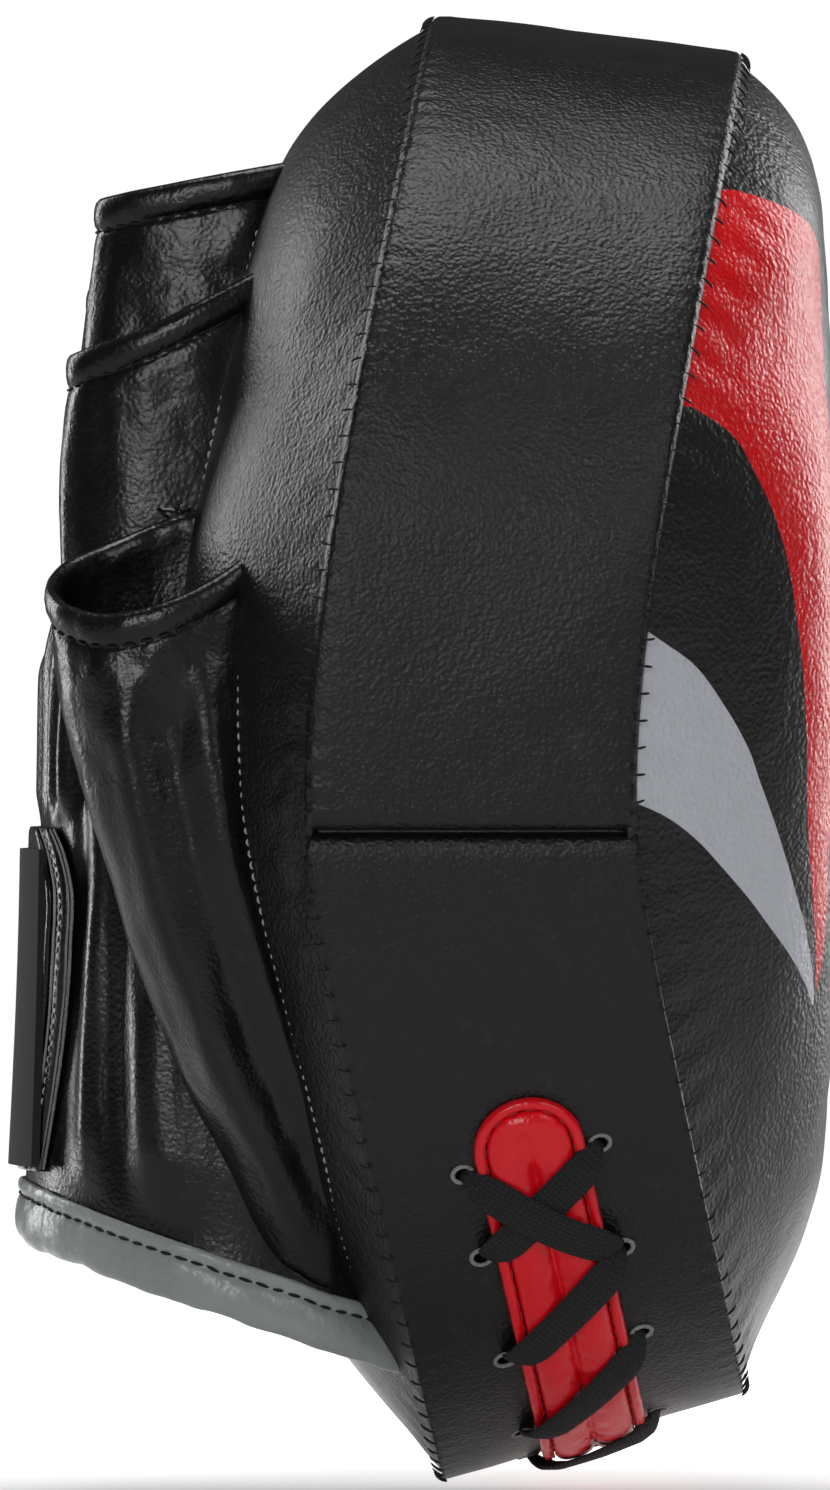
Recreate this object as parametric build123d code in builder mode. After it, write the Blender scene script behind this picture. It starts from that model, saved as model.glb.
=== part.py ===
from build123d import *
import os
from math import atan2, cos, hypot, pi, radians, sin, sqrt, tan

# A curved focus mitt for the left hand: a thick foam pad bound by an edge band that is laced shut
# under its lower end, with a half-finger leather glove sewn on its back and a hook-and-loop wrist
# strap. Millimetres. +X is the way the pad faces a punch, +Z points to the fingertips, -Y is the
# thumb's side. The origin is on the back cover's crest, where the middle of the palm rests.

# ---------------------------------------------------------------- pad outline, seen along +X
outline_station = 48.0  # X at which the outline has the sizes below
outline_top = 143.0
outline_bottom = -125.0
outline_half_width = 100.0  # also the radius of the rounded top
bottom_corner = 33.0  # degrees below level at which the side arcs run into the bottom arc
top_lean = 0.12  # drop of the outline's top for each mm forward
bottom_lean = 0.29  # rise of its bottom for each mm forward
side_lean = 0.02  # narrowing of each side for each mm forward
block_rear = -12.0  # X of the plain block's two ends, past every curved face
block_front = 132.0
far_away = 170.0  # reach of cutting tools across the pad

# ---------------------------------------------------------------- bow, domes and layers
rear_edge_x = 22.8  # X of the band's rear edge at Z 0
band_width = 58.6
bow_height = 143.0  # Z at which the upper and the lower bow have these depths
upper_bow, upper_soft = 22.5, 45.0
lower_bow, lower_soft = 29.0, 20.0
back_dome = rear_edge_x  # the back's padding rises to X 0, where the origin is
back_run = 50.0  # distance from the edge at which the back is fully domed
back_fade = 0.22  # share of that height lost towards the lower end
face_x = 116.8  # X of the strike face's highest line
face_sag = 2.0  # how far the face falls back over face_reach
face_middle, face_reach = 20.0, 75.0
face_run = 40.0  # distance from the edge at which the face is fully raised
dish_depth, dish_radius = 8.0, 58.0  # hollow in the strike face that takes the punch
dish_z = 14.0
skin = 1.8  # leather of the two covers
band_thickness = 3.0
lower_band_drop = 0.5  # how far the lower band lies under the upper band's surface
layer_gap = 0.2
core_inset = band_thickness + layer_gap
cover_tuck = 1.5  # how far the covers' rims sit in under the band
foam_split = 5.2  # where the outer foam layers end, inside the band's edges
band_seam_z = -5.7  # seam between the upper and the lower band
seam_gap = 0.6

# ---------------------------------------------------------------- lacing
tongue_top_z = -61.5  # height of the middle of the tongue's rounded end
tongue_width = 15.6
tongue_proud = 2.5  # how far the tongue stands out of the pad's outline
piping_width = 2.2
piping_proud = 1.7
slot_clearance = 0.15
eyelet_radius = 1.6
eyelet_offset = 12.8  # from the lacing's middle line
# eyelets of each row, as distances round the rim from its lowest point, thumb's side first
front_eyelets = (100.0, 77.0, 55.0, 20.0, -10.0, -36.0, -57.0, -78.0, -99.0)
rear_eyelets = (100.0, 82.0, 57.0, 30.0, 3.0, -24.0, -50.0, -76.0, -100.0)
lace_width = 7.0
lace_thickness = 1.2
lace_lift = 0.3  # air between the tongue and the lace over it
lace_leg_radius = 1.3
lace_sink = 0.45  # how far a crossing run is pressed into the one below it
crossing_pinch = 1.2  # how much narrower the lace is pulled where it crosses itself
lace_room = 1.9  # depth of the foam's recess under the lacing
lace_room_top = -43.0

# ---------------------------------------------------------------- glove
leather = 1.6
hand_half_width = 48.0
# height, X of the section's middle, half depth and half width of the hand's sleeve
hand_sections = [
    (-106.0, 16.0, 45.5, 50.0),
    (-84.0, 12.5, 42.0, 50.0),
    (-40.0, 6.0, 33.5, 49.0),
    (0.0, 3.0, 29.5, hand_half_width),
    (30.0, 2.0, 27.5, 47.0),
    (52.0, 2.0, 24.5, 46.0),
]
finger_pitch = 22.9
finger_half_width = 11.25
# name: place across the hand, height of the hem at the pad, hem's slope, half depth, X at the hem
fingers = {
    "index": (-1.5, 95.0, 0.50, 20.5, 3.0),
    "middle": (-0.5, 114.5, 0.18, 20.0, 7.0),
    "ring": (0.5, 103.0, 0.35, 19.5, 4.5),
    "little": (1.5, 84.0, 0.45, 19.0, 1.0),
}
hem_x = 15.0  # X at which a hem has its height
# height, X and Y of the middle, half depth and half width of the thumb's sleeve
thumb_sections = [
    (-86.0, 23.0, -43.0, 6.0, 5.0),
    (-66.0, 19.5, -51.0, 10.5, 10.5),
    (-45.0, 12.5, -57.0, 14.0, 14.0),
    (-12.0, 4.0, -61.0, 17.5, 16.5),
    (20.0, -1.0, -63.0, 20.5, 17.0),
    (70.0, -2.0, -64.0, 21.5, 17.0),
]
thumb_hem_z = 41.5  # height of the thumb's hem at X 0 and the sleeve's middle
thumb_hem_slope_x, thumb_hem_slope_y = 0.36, 0.50
palm_lining_thickness = 1.2
palm_ball_radius, palm_ball_height = 27.0, 7.0
palm_ball_z = -4.0

# ---------------------------------------------------------------- cuff and strap
cuff_z = -79.5  # height of the cuff's lower edge at cuff_x
cuff_slope = 0.33
cuff_x = -29.0
binding_height = 10.3
binding_thickness = 1.3
slit_y, slit_width, slit_top = -4.0, 2.4, -14.0
flap_near, flap_far = -32.0, 13.0  # the flap's two edges, along Y
flap_top, flap_bottom = -5.0, -67.5
flap_thickness = 1.6
flap_edge = 3.0  # width of the flap's bound edge
strap_near, strap_split_y, strap_end_y = -25.0, 13.6, 37.0
strap_top, strap_bottom = -9.0, -66.6
strap_thickness = 1.4
loop_near, loop_far = 16.0, 43.0
loop_thickness = 0.9
hook_near, hook_far = 17.5, 34.5
hook_thickness = 0.8
tab_length = 6.5
tab_thickness = 2.2
layer_step = 0.15  # air between the layers of the closure


# ---------------------------------------------------------------- curves that every piece shares
def bow(z):
    """How far forward the band's edges lie at height z."""
    depth, soft = (upper_bow, upper_soft) if z > 0 else (lower_bow, lower_soft)
    full = sqrt(1 + (bow_height / soft) ** 2) - 1
    return depth * (sqrt(1 + (z / soft) ** 2) - 1) / full


def rear_edge(z):
    return rear_edge_x + bow(z)


def front_edge(z):
    return rear_edge(z) + band_width


def band_middle(z):
    return rear_edge(z) + band_width / 2


def egg(x):
    """The outline at station x: top and bottom centres, top, side and bottom radii, side centre."""
    forward = x - outline_station
    top_radius = outline_half_width - side_lean * forward
    top = outline_top - top_lean * forward - top_radius
    bottom = outline_bottom + bottom_lean * forward
    turn = tan(radians(bottom_corner / 2))
    span = (top - bottom - top_radius) / (1 - turn)
    offset = span / tan(radians(bottom_corner))
    bottom_radius = top_radius - span * turn
    return top, top - span, top_radius, top_radius + offset, bottom_radius, offset


def inset_of(x, y, z):
    """Distance from a point to the outline at station x, positive inside it."""
    top, bottom, top_radius, side_radius, bottom_radius, offset = egg(x)
    if z >= top:
        return top_radius - hypot(y, z - top)
    if atan2(top - z, abs(y) + offset) < radians(bottom_corner):
        return side_radius - hypot(abs(y) + offset, z - top)
    return bottom_radius - hypot(y, z - bottom)


def rim_point(x, distance, inset):
    """A point on the rim, measured round it from its lowest point, and its outward direction."""
    top, bottom, top_radius, side_radius, bottom_radius, offset = egg(x)
    side = -1 if distance > 0 else 1
    bend = radians(90 - bottom_corner)
    beyond = abs(distance) - bottom_radius * bend
    if beyond <= 0:
        angle = abs(distance) / bottom_radius
        out_y, out_z, reach = sin(angle), -cos(angle), bottom_radius - inset
        return (x, side * reach * out_y, bottom + reach * out_z), (0, side * out_y, out_z)
    angle = radians(bottom_corner) - beyond / side_radius
    out_y, out_z, reach = cos(angle), -sin(angle), side_radius - inset
    return (x, side * (reach * out_y - offset), top + reach * out_z), (0, side * out_y, out_z)


def rise(inset, run):
    """Share of a dome's full height at a distance inside the outline."""
    if inset < 0:
        return inset / run * pi / 2
    return sin(pi / 2 * min(1.0, inset / run))


def back_x(y, z):
    fade = min(1.0, max(0.0, (-z - 55.0) / 65.0))
    height = (back_dome + cover_tuck) * (1 - back_fade * fade * fade * (3 - 2 * fade))
    inside = inset_of(rear_edge(z), y, z) - core_inset
    return rear_edge(z) + cover_tuck - height * rise(inside, back_run)


def strike_x(y, z):
    face = face_x - face_sag * ((z - face_middle) / face_reach) ** 2
    edge = front_edge(z)
    hollow = max(0.0, 1 - (y**2 + (z - dish_z) ** 2) / dish_radius**2)
    lift = (face - edge + cover_tuck) * rise(inset_of(edge, y, z) - core_inset, face_run)
    return edge - cover_tuck + lift - dish_depth * hollow**2


def surface(function, columns=15, rows=19):
    """A smooth face through function(y, z), a little larger than the pad's outline."""
    low, high = outline_bottom - 22, outline_top + 12
    side = outline_half_width + 14
    grid = []
    for i in range(rows):
        z = low + (high - low) * i / (rows - 1)
        line = [-side + 2 * side * j / (columns - 1) for j in range(columns)]
        grid.append([(function(y, z), y, z) for y in line])
    return Face.make_surface_from_array_of_points(grid, tol=0.05)


back_face = surface(back_x)
strike_face = surface(strike_x)


def outline(x, inset):
    """The pad's egg-shaped outline at station x, as a sketch."""
    top, bottom, top_radius, side_radius, bottom_radius, offset = egg(x)
    r_top, r_side, r_bottom = top_radius - inset, side_radius - inset, bottom_radius - inset
    corner = radians(bottom_corner)
    side = (r_side * cos(corner / 2) - offset, top - r_side * sin(corner / 2))
    low = (r_side * cos(corner) - offset, top - r_side * sin(corner))
    with BuildSketch(Plane.YZ.offset(x)) as sketch:
        with BuildLine():
            ThreePointArc((-r_top, top), (0, top + r_top), (r_top, top))
            ThreePointArc((r_top, top), side, low)
            ThreePointArc(low, (0, bottom - r_bottom), (-low[0], low[1]))
            ThreePointArc((-low[0], low[1]), (-side[0], side[1]), (-r_top, top))
        make_face()
    return sketch.sketch


def block(inset):
    """The pad's whole outline as one block, inset all round."""
    with BuildPart() as part:
        add(outline(block_rear, inset))
        add(outline(block_front, inset))
        loft(ruled=True)
    return part.part


def rim_shell(outer, inner):
    """The layer of the rim between two insets."""
    with BuildPart() as part:
        add(block(outer))
        add(block(inner), mode=Mode.SUBTRACT)
    return part.part


def bowed_curve(edge, shift, low=-160.0, high=175.0, count=15):
    return [(edge(z) + shift, z) for z in [low + (high - low) * i / (count - 1) for i in range(count)]]


def side_profile(rear, rear_shift, front, front_shift, low=-160.0, high=175.0):
    """A slab between two bowed edges, all across the pad."""
    left = bowed_curve(rear, rear_shift, low, high)
    right = bowed_curve(front, front_shift, low, high)
    with BuildPart() as part:
        with BuildSketch(Plane.XZ):
            with BuildLine():
                Spline(*left)
                Line(left[-1], right[-1])
                Spline(*right)
                Line(right[0], left[0])
            make_face()
        extrude(amount=far_away, both=True)
    return part.part


def ahead_of(face, shift):
    """Everything in front of a curved face that is moved by shift along X."""
    with BuildPart() as part:
        extrude(face.moved(Location((shift, 0, 0))), amount=220, dir=(1, 0, 0))
    return part.part


def span_box(x_range, y_range, z_range):
    """A box between two corners."""
    ranges = (x_range, y_range, z_range)
    with BuildPart() as part:
        with Locations(tuple(sum(ends) / 2 for ends in ranges)):
            Box(*[ends[1] - ends[0] for ends in ranges])
    return part.part


def between_heights(low, high):
    return span_box((-90, 200), (-far_away, far_away), (low, high))


core_block = block(core_inset)
rear_slab = side_profile(rear_edge, -60, rear_edge, foam_split)
front_slab = side_profile(front_edge, -foam_split, front_edge, 80)
finished = []


def keep(part, name):
    """Names a finished piece and writes it."""
    part.label = name
    export_step(part, f"parts/{name}.step")
    finished.append(name)


os.makedirs("parts", exist_ok=True)

# ---------------------------------------------------------------- pad covers and foam
with BuildPart() as back_cover:
    extrude(back_face, amount=skin, dir=(1, 0, 0))
    add(core_block, mode=Mode.INTERSECT)
keep(back_cover.part, "back_cover")

with BuildPart() as strike_cover:
    extrude(strike_face.moved(Location((-skin, 0, 0))), amount=skin, dir=(1, 0, 0))
    add(core_block, mode=Mode.INTERSECT)
keep(strike_cover.part, "strike_cover")

with BuildPart() as backing_foam:
    add(core_block)
    add(ahead_of(back_face, skin + layer_gap), mode=Mode.INTERSECT)
    add(rear_slab, mode=Mode.INTERSECT)
keep(backing_foam.part, "backing_foam")

with BuildPart() as strike_foam:
    add(core_block)
    add(ahead_of(strike_face, -skin - layer_gap), mode=Mode.SUBTRACT)
    add(front_slab, mode=Mode.INTERSECT)
keep(strike_foam.part, "strike_foam")

half_room = eyelet_offset + lace_width / 2 + 2.5
with BuildPart() as lace_recess:
    add(side_profile(band_middle, -half_room, band_middle, half_room))
    add(between_heights(-200, lace_room_top), mode=Mode.INTERSECT)
    add(block(core_inset + lace_room), mode=Mode.SUBTRACT)

with BuildPart() as core_foam:
    add(core_block)
    add(side_profile(rear_edge, foam_split + layer_gap, front_edge, -foam_split - layer_gap), mode=Mode.INTERSECT)
    add(lace_recess.part, mode=Mode.SUBTRACT)
keep(core_foam.part, "core_foam")


# ---------------------------------------------------------------- edge bands
def lacing_outline(extra):
    """The tongue's side view, widened by extra, all across the pad."""
    half = tongue_width / 2 + extra
    heights = [tongue_top_z - 16.0 * i for i in range(6)]
    left = [(band_middle(z) - half, z) for z in heights]
    right = [(band_middle(z) + half, z) for z in heights]
    with BuildPart() as part:
        with BuildSketch(Plane.XZ):
            with BuildLine():
                Spline(*left)
                Line(left[-1], right[-1])
                Spline(*right)
                ThreePointArc(right[0], (band_middle(tongue_top_z), tongue_top_z + half), left[0])
            make_face()
        extrude(amount=far_away, both=True)
    return part.part


def eyelet(row, number, inset):
    """Where an eyelet of the rear (-1) or front (+1) row goes through the rim, and its direction."""
    distance = (front_eyelets if row > 0 else rear_eyelets)[number]
    x = band_middle(0)
    for _ in range(8):
        height = rim_point(x, distance, 0)[0][2]
        x = band_middle(height) + row * eyelet_offset
    return rim_point(x, distance, inset)


def eyelet_pin(row, number, radius, outer, inner):
    """A round bar through the rim at an eyelet, between two insets."""
    start, outward = eyelet(row, number, outer)
    with BuildPart() as pin:
        with BuildSketch(Plane(origin=start, z_dir=outward)):
            Circle(radius)
        extrude(amount=outer - inner)
    return pin.part


all_eyelets = [(1, n) for n in range(len(front_eyelets))] + [(-1, n) for n in range(len(rear_eyelets))]
band_slab = side_profile(rear_edge, 0, front_edge, 0)

with BuildPart() as upper_edge_band:
    add(rim_shell(0, band_thickness))
    add(band_slab, mode=Mode.INTERSECT)
    add(between_heights(band_seam_z + seam_gap / 2, 200), mode=Mode.INTERSECT)
keep(upper_edge_band.part, "upper_edge_band")

with BuildPart() as lower_edge_band:
    add(rim_shell(lower_band_drop, band_thickness))
    add(band_slab, mode=Mode.INTERSECT)
    add(between_heights(-200, band_seam_z - seam_gap / 2), mode=Mode.INTERSECT)
    add(lacing_outline(slot_clearance), mode=Mode.SUBTRACT)
    for row, number in all_eyelets:
        add(eyelet_pin(row, number, eyelet_radius, -6, 9), mode=Mode.SUBTRACT)
keep(lower_edge_band.part, "lower_edge_band")

# ---------------------------------------------------------------- tongue, its piping and the lace
with BuildPart() as lacing_tongue:
    add(rim_shell(-tongue_proud, band_thickness))
    add(lacing_outline(0), mode=Mode.INTERSECT)
    add(between_heights(-200, tongue_top_z + 14), mode=Mode.INTERSECT)
keep(lacing_tongue.part, "lacing_tongue")

with BuildPart() as tongue_piping:
    add(rim_shell(-piping_proud, lower_band_drop - 0.05))
    add(lacing_outline(slot_clearance + piping_width), mode=Mode.INTERSECT)
    add(lacing_outline(slot_clearance), mode=Mode.SUBTRACT)
    add(between_heights(-200, tongue_top_z + 16), mode=Mode.INTERSECT)
keep(tongue_piping.part, "tongue_piping")

lace_over = tongue_proud + lace_lift
lace_under = band_thickness + layer_gap
crossing_over = lace_over + lace_thickness - lace_sink
outside_layer = rim_shell(-lace_over - lace_thickness, -lace_over)
crossing_layer = rim_shell(-crossing_over - lace_thickness, -crossing_over)
inside_layer = rim_shell(lace_under, lace_under + lace_thickness)


def strand(start, end, layer, inset, width=lace_width):
    """One straight run of flat lace from eyelet to eyelet, lying in a thin layer."""
    (a, out_a), (b, out_b) = eyelet(*start, inset), eyelet(*end, inset)
    a, b = Vector(*a), Vector(*b)
    outward = Vector(*out_a) + Vector(*out_b)
    with BuildPart() as run:
        with BuildSketch(Plane(origin=(a + b) * 0.5, x_dir=b - a, z_dir=outward)):
            SlotCenterToCenter((b - a).length, width)
        extrude(amount=14, both=True)
        add(layer, mode=Mode.INTERSECT)
    return run.part


# the lace runs forward to rear outside, one eyelet lower each time, and returns under the band;
# its first and its last run cross their neighbours
pairs = len(front_eyelets)
outside_runs = [((1, n), (-1, n + 1)) for n in range(pairs - 1)]
crossing_runs = [((1, 1), (-1, 0)), ((1, pairs - 1), (-1, pairs - 2))]
inside_runs = [((1, n), (-1, n)) for n in range(pairs)]

with BuildPart() as edge_lace:
    for start, end in outside_runs:
        add(strand(start, end, outside_layer, -lace_over))
    for start, end in crossing_runs:
        add(strand(start, end, crossing_layer, -crossing_over, lace_width - crossing_pinch))
    for start, end in inside_runs:
        add(strand(start, end, inside_layer, lace_under))
    for row, number in all_eyelets:
        crossed = (row, number) in sum(crossing_runs, ())
        top = crossing_over if crossed else lace_over
        add(eyelet_pin(row, number, lace_leg_radius, -top - lace_thickness / 2, lace_under + lace_thickness / 2))
keep(edge_lace.part, "edge_lace")


# ---------------------------------------------------------------- glove: sleeves
def oval_tube(sections, grow=0.0):
    """A closed form through level ovals: (height, x, y, half depth, half width)."""
    with BuildPart() as tube:
        for height, x, y, depth, width in sections:
            with BuildSketch(Plane.XY.offset(height)):
                with Locations((x, y)):
                    Ellipse(depth + grow, width + grow)
        loft()
    return tube.part


def hand_form(grow):
    return oval_tube([(z, x, 0.0, depth, width) for z, x, depth, width in hand_sections], grow)


def hem_plane(x, z, slope_x, y=0.0, slope_y=0.0):
    """A sloping plane through a hem."""
    return Plane(origin=(x, y, z), z_dir=(-slope_x, -slope_y, 1))


def cuff_plane(lift):
    return hem_plane(cuff_x, cuff_z + lift, -cuff_slope)


glove_cut = ahead_of(back_face, -layer_step)
thumb_inner = oval_tube(thumb_sections, -leather)
slit = span_box((-80, 0), (slit_y - slit_width / 2, slit_y + slit_width / 2), (-140, slit_top))

with BuildPart() as hand_back_panel:
    add(hand_form(0))
    add(hand_form(-leather), mode=Mode.SUBTRACT)
    add(glove_cut, mode=Mode.SUBTRACT)
    add(thumb_inner, mode=Mode.SUBTRACT)
    split(bisect_by=cuff_plane(0), keep=Keep.TOP)
    add(slit, mode=Mode.SUBTRACT)
keep(hand_back_panel.part, "hand_back_panel")

with BuildPart() as thumb_stall:
    add(oval_tube(thumb_sections))
    add(thumb_inner, mode=Mode.SUBTRACT)
    add(hand_form(layer_step), mode=Mode.SUBTRACT)
    add(glove_cut, mode=Mode.SUBTRACT)
    split(
        bisect_by=hem_plane(0, thumb_hem_z, thumb_hem_slope_x, thumb_sections[-1][2], thumb_hem_slope_y),
        keep=Keep.BOTTOM,
    )
keep(thumb_stall.part, "thumb_stall")

finger_root_z = hand_sections[-1][0]
for finger, (place, hem_z, hem_slope, depth, middle_x) in fingers.items():
    y = place * finger_pitch
    stall_sections = [
        (finger_root_z, 1.0, y, 23.0, finger_half_width),
        ((finger_root_z + hem_z) / 2, (1.0 + middle_x) / 2, y, (23.0 + depth) / 2, finger_half_width),
        (hem_z + 12.0, middle_x, y, depth, finger_half_width),
    ]
    with BuildPart() as finger_stall:
        add(oval_tube(stall_sections))
        add(oval_tube(stall_sections, -leather), mode=Mode.SUBTRACT)
        add(glove_cut, mode=Mode.SUBTRACT)
        split(bisect_by=hem_plane(hem_x, hem_z, hem_slope), keep=Keep.BOTTOM)
    keep(finger_stall.part, f"{finger}_stall")

# ---------------------------------------------------------------- glove: palm
with BuildPart() as palm_lining:
    with BuildSketch(Plane.YZ.offset(-40)):
        with BuildLine():
            Polyline((-42, -72), (-43, 0), (-43, 46), (43, 46), (43, 0), (42, -72), close=True)
        make_face()
        fillet(vertices(), 8)
    extrude(amount=120)
    add(glove_cut, mode=Mode.SUBTRACT)
    add(ahead_of(back_face, -layer_step - palm_lining_thickness), mode=Mode.INTERSECT)
keep(palm_lining.part, "palm_lining")

sphere_radius = (palm_ball_radius**2 + palm_ball_height**2) / (2 * palm_ball_height)
palm_crest = back_x(0, palm_ball_z) - 2 * layer_step - palm_lining_thickness - palm_ball_height
with BuildPart() as palm_ball:
    with Locations((palm_crest + sphere_radius, 0, palm_ball_z)):
        Sphere(sphere_radius)
    add(ahead_of(back_face, -2 * layer_step - palm_lining_thickness), mode=Mode.SUBTRACT)
keep(palm_ball.part, "palm_ball")


# ---------------------------------------------------------------- cuff, flap and strap
def layer(low, high, near, far, bottom, top):
    """A patch of a layer over the hand's sleeve, low to high above its leather."""
    with BuildPart() as part:
        add(hand_form(high))
        add(hand_form(low), mode=Mode.SUBTRACT)
        add(span_box((-90, -2), (near, far), (bottom, top)), mode=Mode.INTERSECT)
    return part.part


with BuildPart() as bound_edge:
    add(hand_form(layer_step / 2))
    add(hand_form(-leather - layer_step / 2), mode=Mode.SUBTRACT)
    split(bisect_by=cuff_plane(-layer_step), keep=Keep.TOP)

# the binding's two halves, each side of the slit
for side, name in ((-1, "thumb_cuff_binding"), (1, "outer_cuff_binding")):
    slit_edge = slit_y + side * slit_width / 2
    with BuildPart() as cuff_binding:
        add(hand_form(binding_thickness))
        add(hand_form(-leather - binding_thickness), mode=Mode.SUBTRACT)
        add(bound_edge.part, mode=Mode.SUBTRACT)
        add(glove_cut, mode=Mode.SUBTRACT)
        add(thumb_stall.part, mode=Mode.SUBTRACT)
        split(bisect_by=cuff_plane(-binding_thickness), keep=Keep.TOP)
        split(bisect_by=cuff_plane(binding_height), keep=Keep.BOTTOM)
        half = sorted((slit_edge, side * far_away))
        add(span_box((-90, 90), half, (-160, 0)), mode=Mode.INTERSECT)
    keep(cuff_binding.part, name)

flap_low = layer_step
flap_high = flap_low + flap_thickness
loop_high = layer_step + loop_thickness
hook_low = loop_high + layer_step
hook_high = hook_low + hook_thickness
strap_low = max(flap_high, hook_high) + layer_step / 3
strap_high = strap_low + strap_thickness
strap_tip = strap_end_y - tab_length

with BuildPart() as cuff_flap:
    add(layer(flap_low, flap_high, flap_near + flap_edge, flap_far, flap_bottom, flap_top))
keep(cuff_flap.part, "cuff_flap")

with BuildPart() as flap_edge_tape:
    add(layer(flap_low, flap_high, flap_near, flap_near + flap_edge - 0.05, flap_bottom, flap_top))
keep(flap_edge_tape.part, "flap_edge_tape")

with BuildPart() as loop_patch:
    add(layer(layer_step, loop_high, loop_near, loop_far, strap_bottom, strap_top))
keep(loop_patch.part, "loop_patch")

with BuildPart() as hook_patch:
    add(layer(hook_low, hook_high, hook_near, hook_far, strap_bottom + 2, strap_top - 2))
keep(hook_patch.part, "hook_patch")

with BuildPart() as wrist_strap:
    add(layer(strap_low, strap_high, strap_near, strap_split_y - 0.15, strap_bottom, strap_top))
keep(wrist_strap.part, "wrist_strap")

with BuildPart() as strap_end:
    add(layer(strap_low, strap_high, strap_split_y + 0.15, strap_tip, strap_bottom, strap_top))
keep(strap_end.part, "strap_end")

with BuildPart() as pull_tab:
    tab_high = strap_low + tab_thickness
    add(layer(strap_low, tab_high, strap_tip + 0.05, strap_end_y, strap_bottom + 6, strap_top - 6))
keep(pull_tab.part, "pull_tab")

print(len(finished), "pieces:", ", ".join(finished))
print("strap layers over the sleeve:", round(strap_low, 2), round(strap_high, 2))
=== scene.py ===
from math import cos, pi, radians, sin, sqrt, tan
import bmesh
import bpy
import numpy as np
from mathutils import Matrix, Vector


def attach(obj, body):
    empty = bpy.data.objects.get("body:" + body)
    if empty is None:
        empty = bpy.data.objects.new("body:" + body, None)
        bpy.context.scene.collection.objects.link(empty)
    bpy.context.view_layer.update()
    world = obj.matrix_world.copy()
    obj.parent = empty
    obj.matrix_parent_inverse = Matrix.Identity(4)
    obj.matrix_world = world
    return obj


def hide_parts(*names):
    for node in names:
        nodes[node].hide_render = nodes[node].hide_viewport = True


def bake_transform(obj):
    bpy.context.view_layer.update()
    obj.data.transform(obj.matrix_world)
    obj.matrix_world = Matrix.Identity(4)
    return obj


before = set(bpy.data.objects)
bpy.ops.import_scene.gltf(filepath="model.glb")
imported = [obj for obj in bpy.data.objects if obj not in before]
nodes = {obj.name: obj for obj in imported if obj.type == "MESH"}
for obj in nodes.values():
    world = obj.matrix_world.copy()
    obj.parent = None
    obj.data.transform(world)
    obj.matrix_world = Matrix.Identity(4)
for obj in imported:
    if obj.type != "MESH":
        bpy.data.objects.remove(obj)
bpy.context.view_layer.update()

# shader maths: a wire is one value in a material, and sums on wires add Math nodes
class Wire:
    def __init__(self, paint, socket):
        self.paint, self.socket = paint, socket

    def math(self, operation, *others):
        return self.paint.node("ShaderNodeMath", {"operation": operation}, [self, *others])

    def __add__(self, other): return self.math("ADD", other)
    def __sub__(self, other): return self.math("SUBTRACT", other)
    def __mul__(self, other): return self.math("MULTIPLY", other)
    def __truediv__(self, other): return self.math("DIVIDE", other)
    def __radd__(self, other): return self.math("ADD", other)
    def __rmul__(self, other): return self.math("MULTIPLY", other)
    def __rsub__(self, other):
        return self.paint.node("ShaderNodeMath", {"operation": "SUBTRACT"}, [other, self])

    def between(self, low, high):
        settings = {"clamp": True, "interpolation_type": "SMOOTHSTEP"}
        return self.paint.node("ShaderNodeMapRange", settings, [self, low, high, 0.0, 1.0])


class Paint:
    def __init__(self, name):
        self.material = bpy.data.materials.new(name)
        self.material.use_nodes = True
        self.tree = self.material.node_tree
        self.tree.nodes.clear()
        self.shader = self.tree.nodes.new("ShaderNodeBsdfPrincipled")
        output = self.tree.nodes.new("ShaderNodeOutputMaterial")
        self.tree.links.new(self.shader.outputs[0], output.inputs[0])

    def plug(self, socket, value):
        if isinstance(value, Wire):
            self.tree.links.new(value.socket, socket)
        else:
            socket.default_value = value

    def node(self, kind, settings=None, values=(), out=0):
        made = self.tree.nodes.new(kind)
        for key, value in (settings or {}).items():
            setattr(made, key, value)
        pairs = values.items() if isinstance(values, dict) else enumerate(values)
        for key, value in pairs:
            self.plug(made.inputs[key], value)
        return Wire(self, made.outputs[out])

    def place(self):
        return self.node("ShaderNodeTexCoord", out=3)  # the row frame, in metres

    def field(self, name):
        return self.node("ShaderNodeAttribute", {"attribute_name": name}, out=2)

    def noise(self, scale, detail=2.0, rough=0.5, at=None):
        values = {"Vector": at or self.place(), "Scale": scale, "Detail": detail, "Roughness": rough}
        return self.node("ShaderNodeTexNoise", None, values)

    def cells(self, scale, at=None, kind="F1"):
        values = {"Vector": at or self.place(), "Scale": scale}
        return self.node("ShaderNodeTexVoronoi", {"feature": kind}, values)

    def mixColour(self, mask, first, second):
        first, second = ((*c, 1) if isinstance(c, tuple) and len(c) == 3 else c for c in (first, second))
        return self.node("ShaderNodeMix", {"data_type": "RGBA"}, {0: mask, 6: first, 7: second}, out=2)

    def bump(self, height, depth):
        return self.node("ShaderNodeBump", None, {"Strength": 1.0, "Distance": depth, "Height": height})

    def finish(self, **sockets):
        for key, value in sockets.items():
            value = (*value, 1) if isinstance(value, tuple) and len(value) == 3 else value
            self.plug(self.shader.inputs[key.replace("_", " ")], value)
        return self.material


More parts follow.
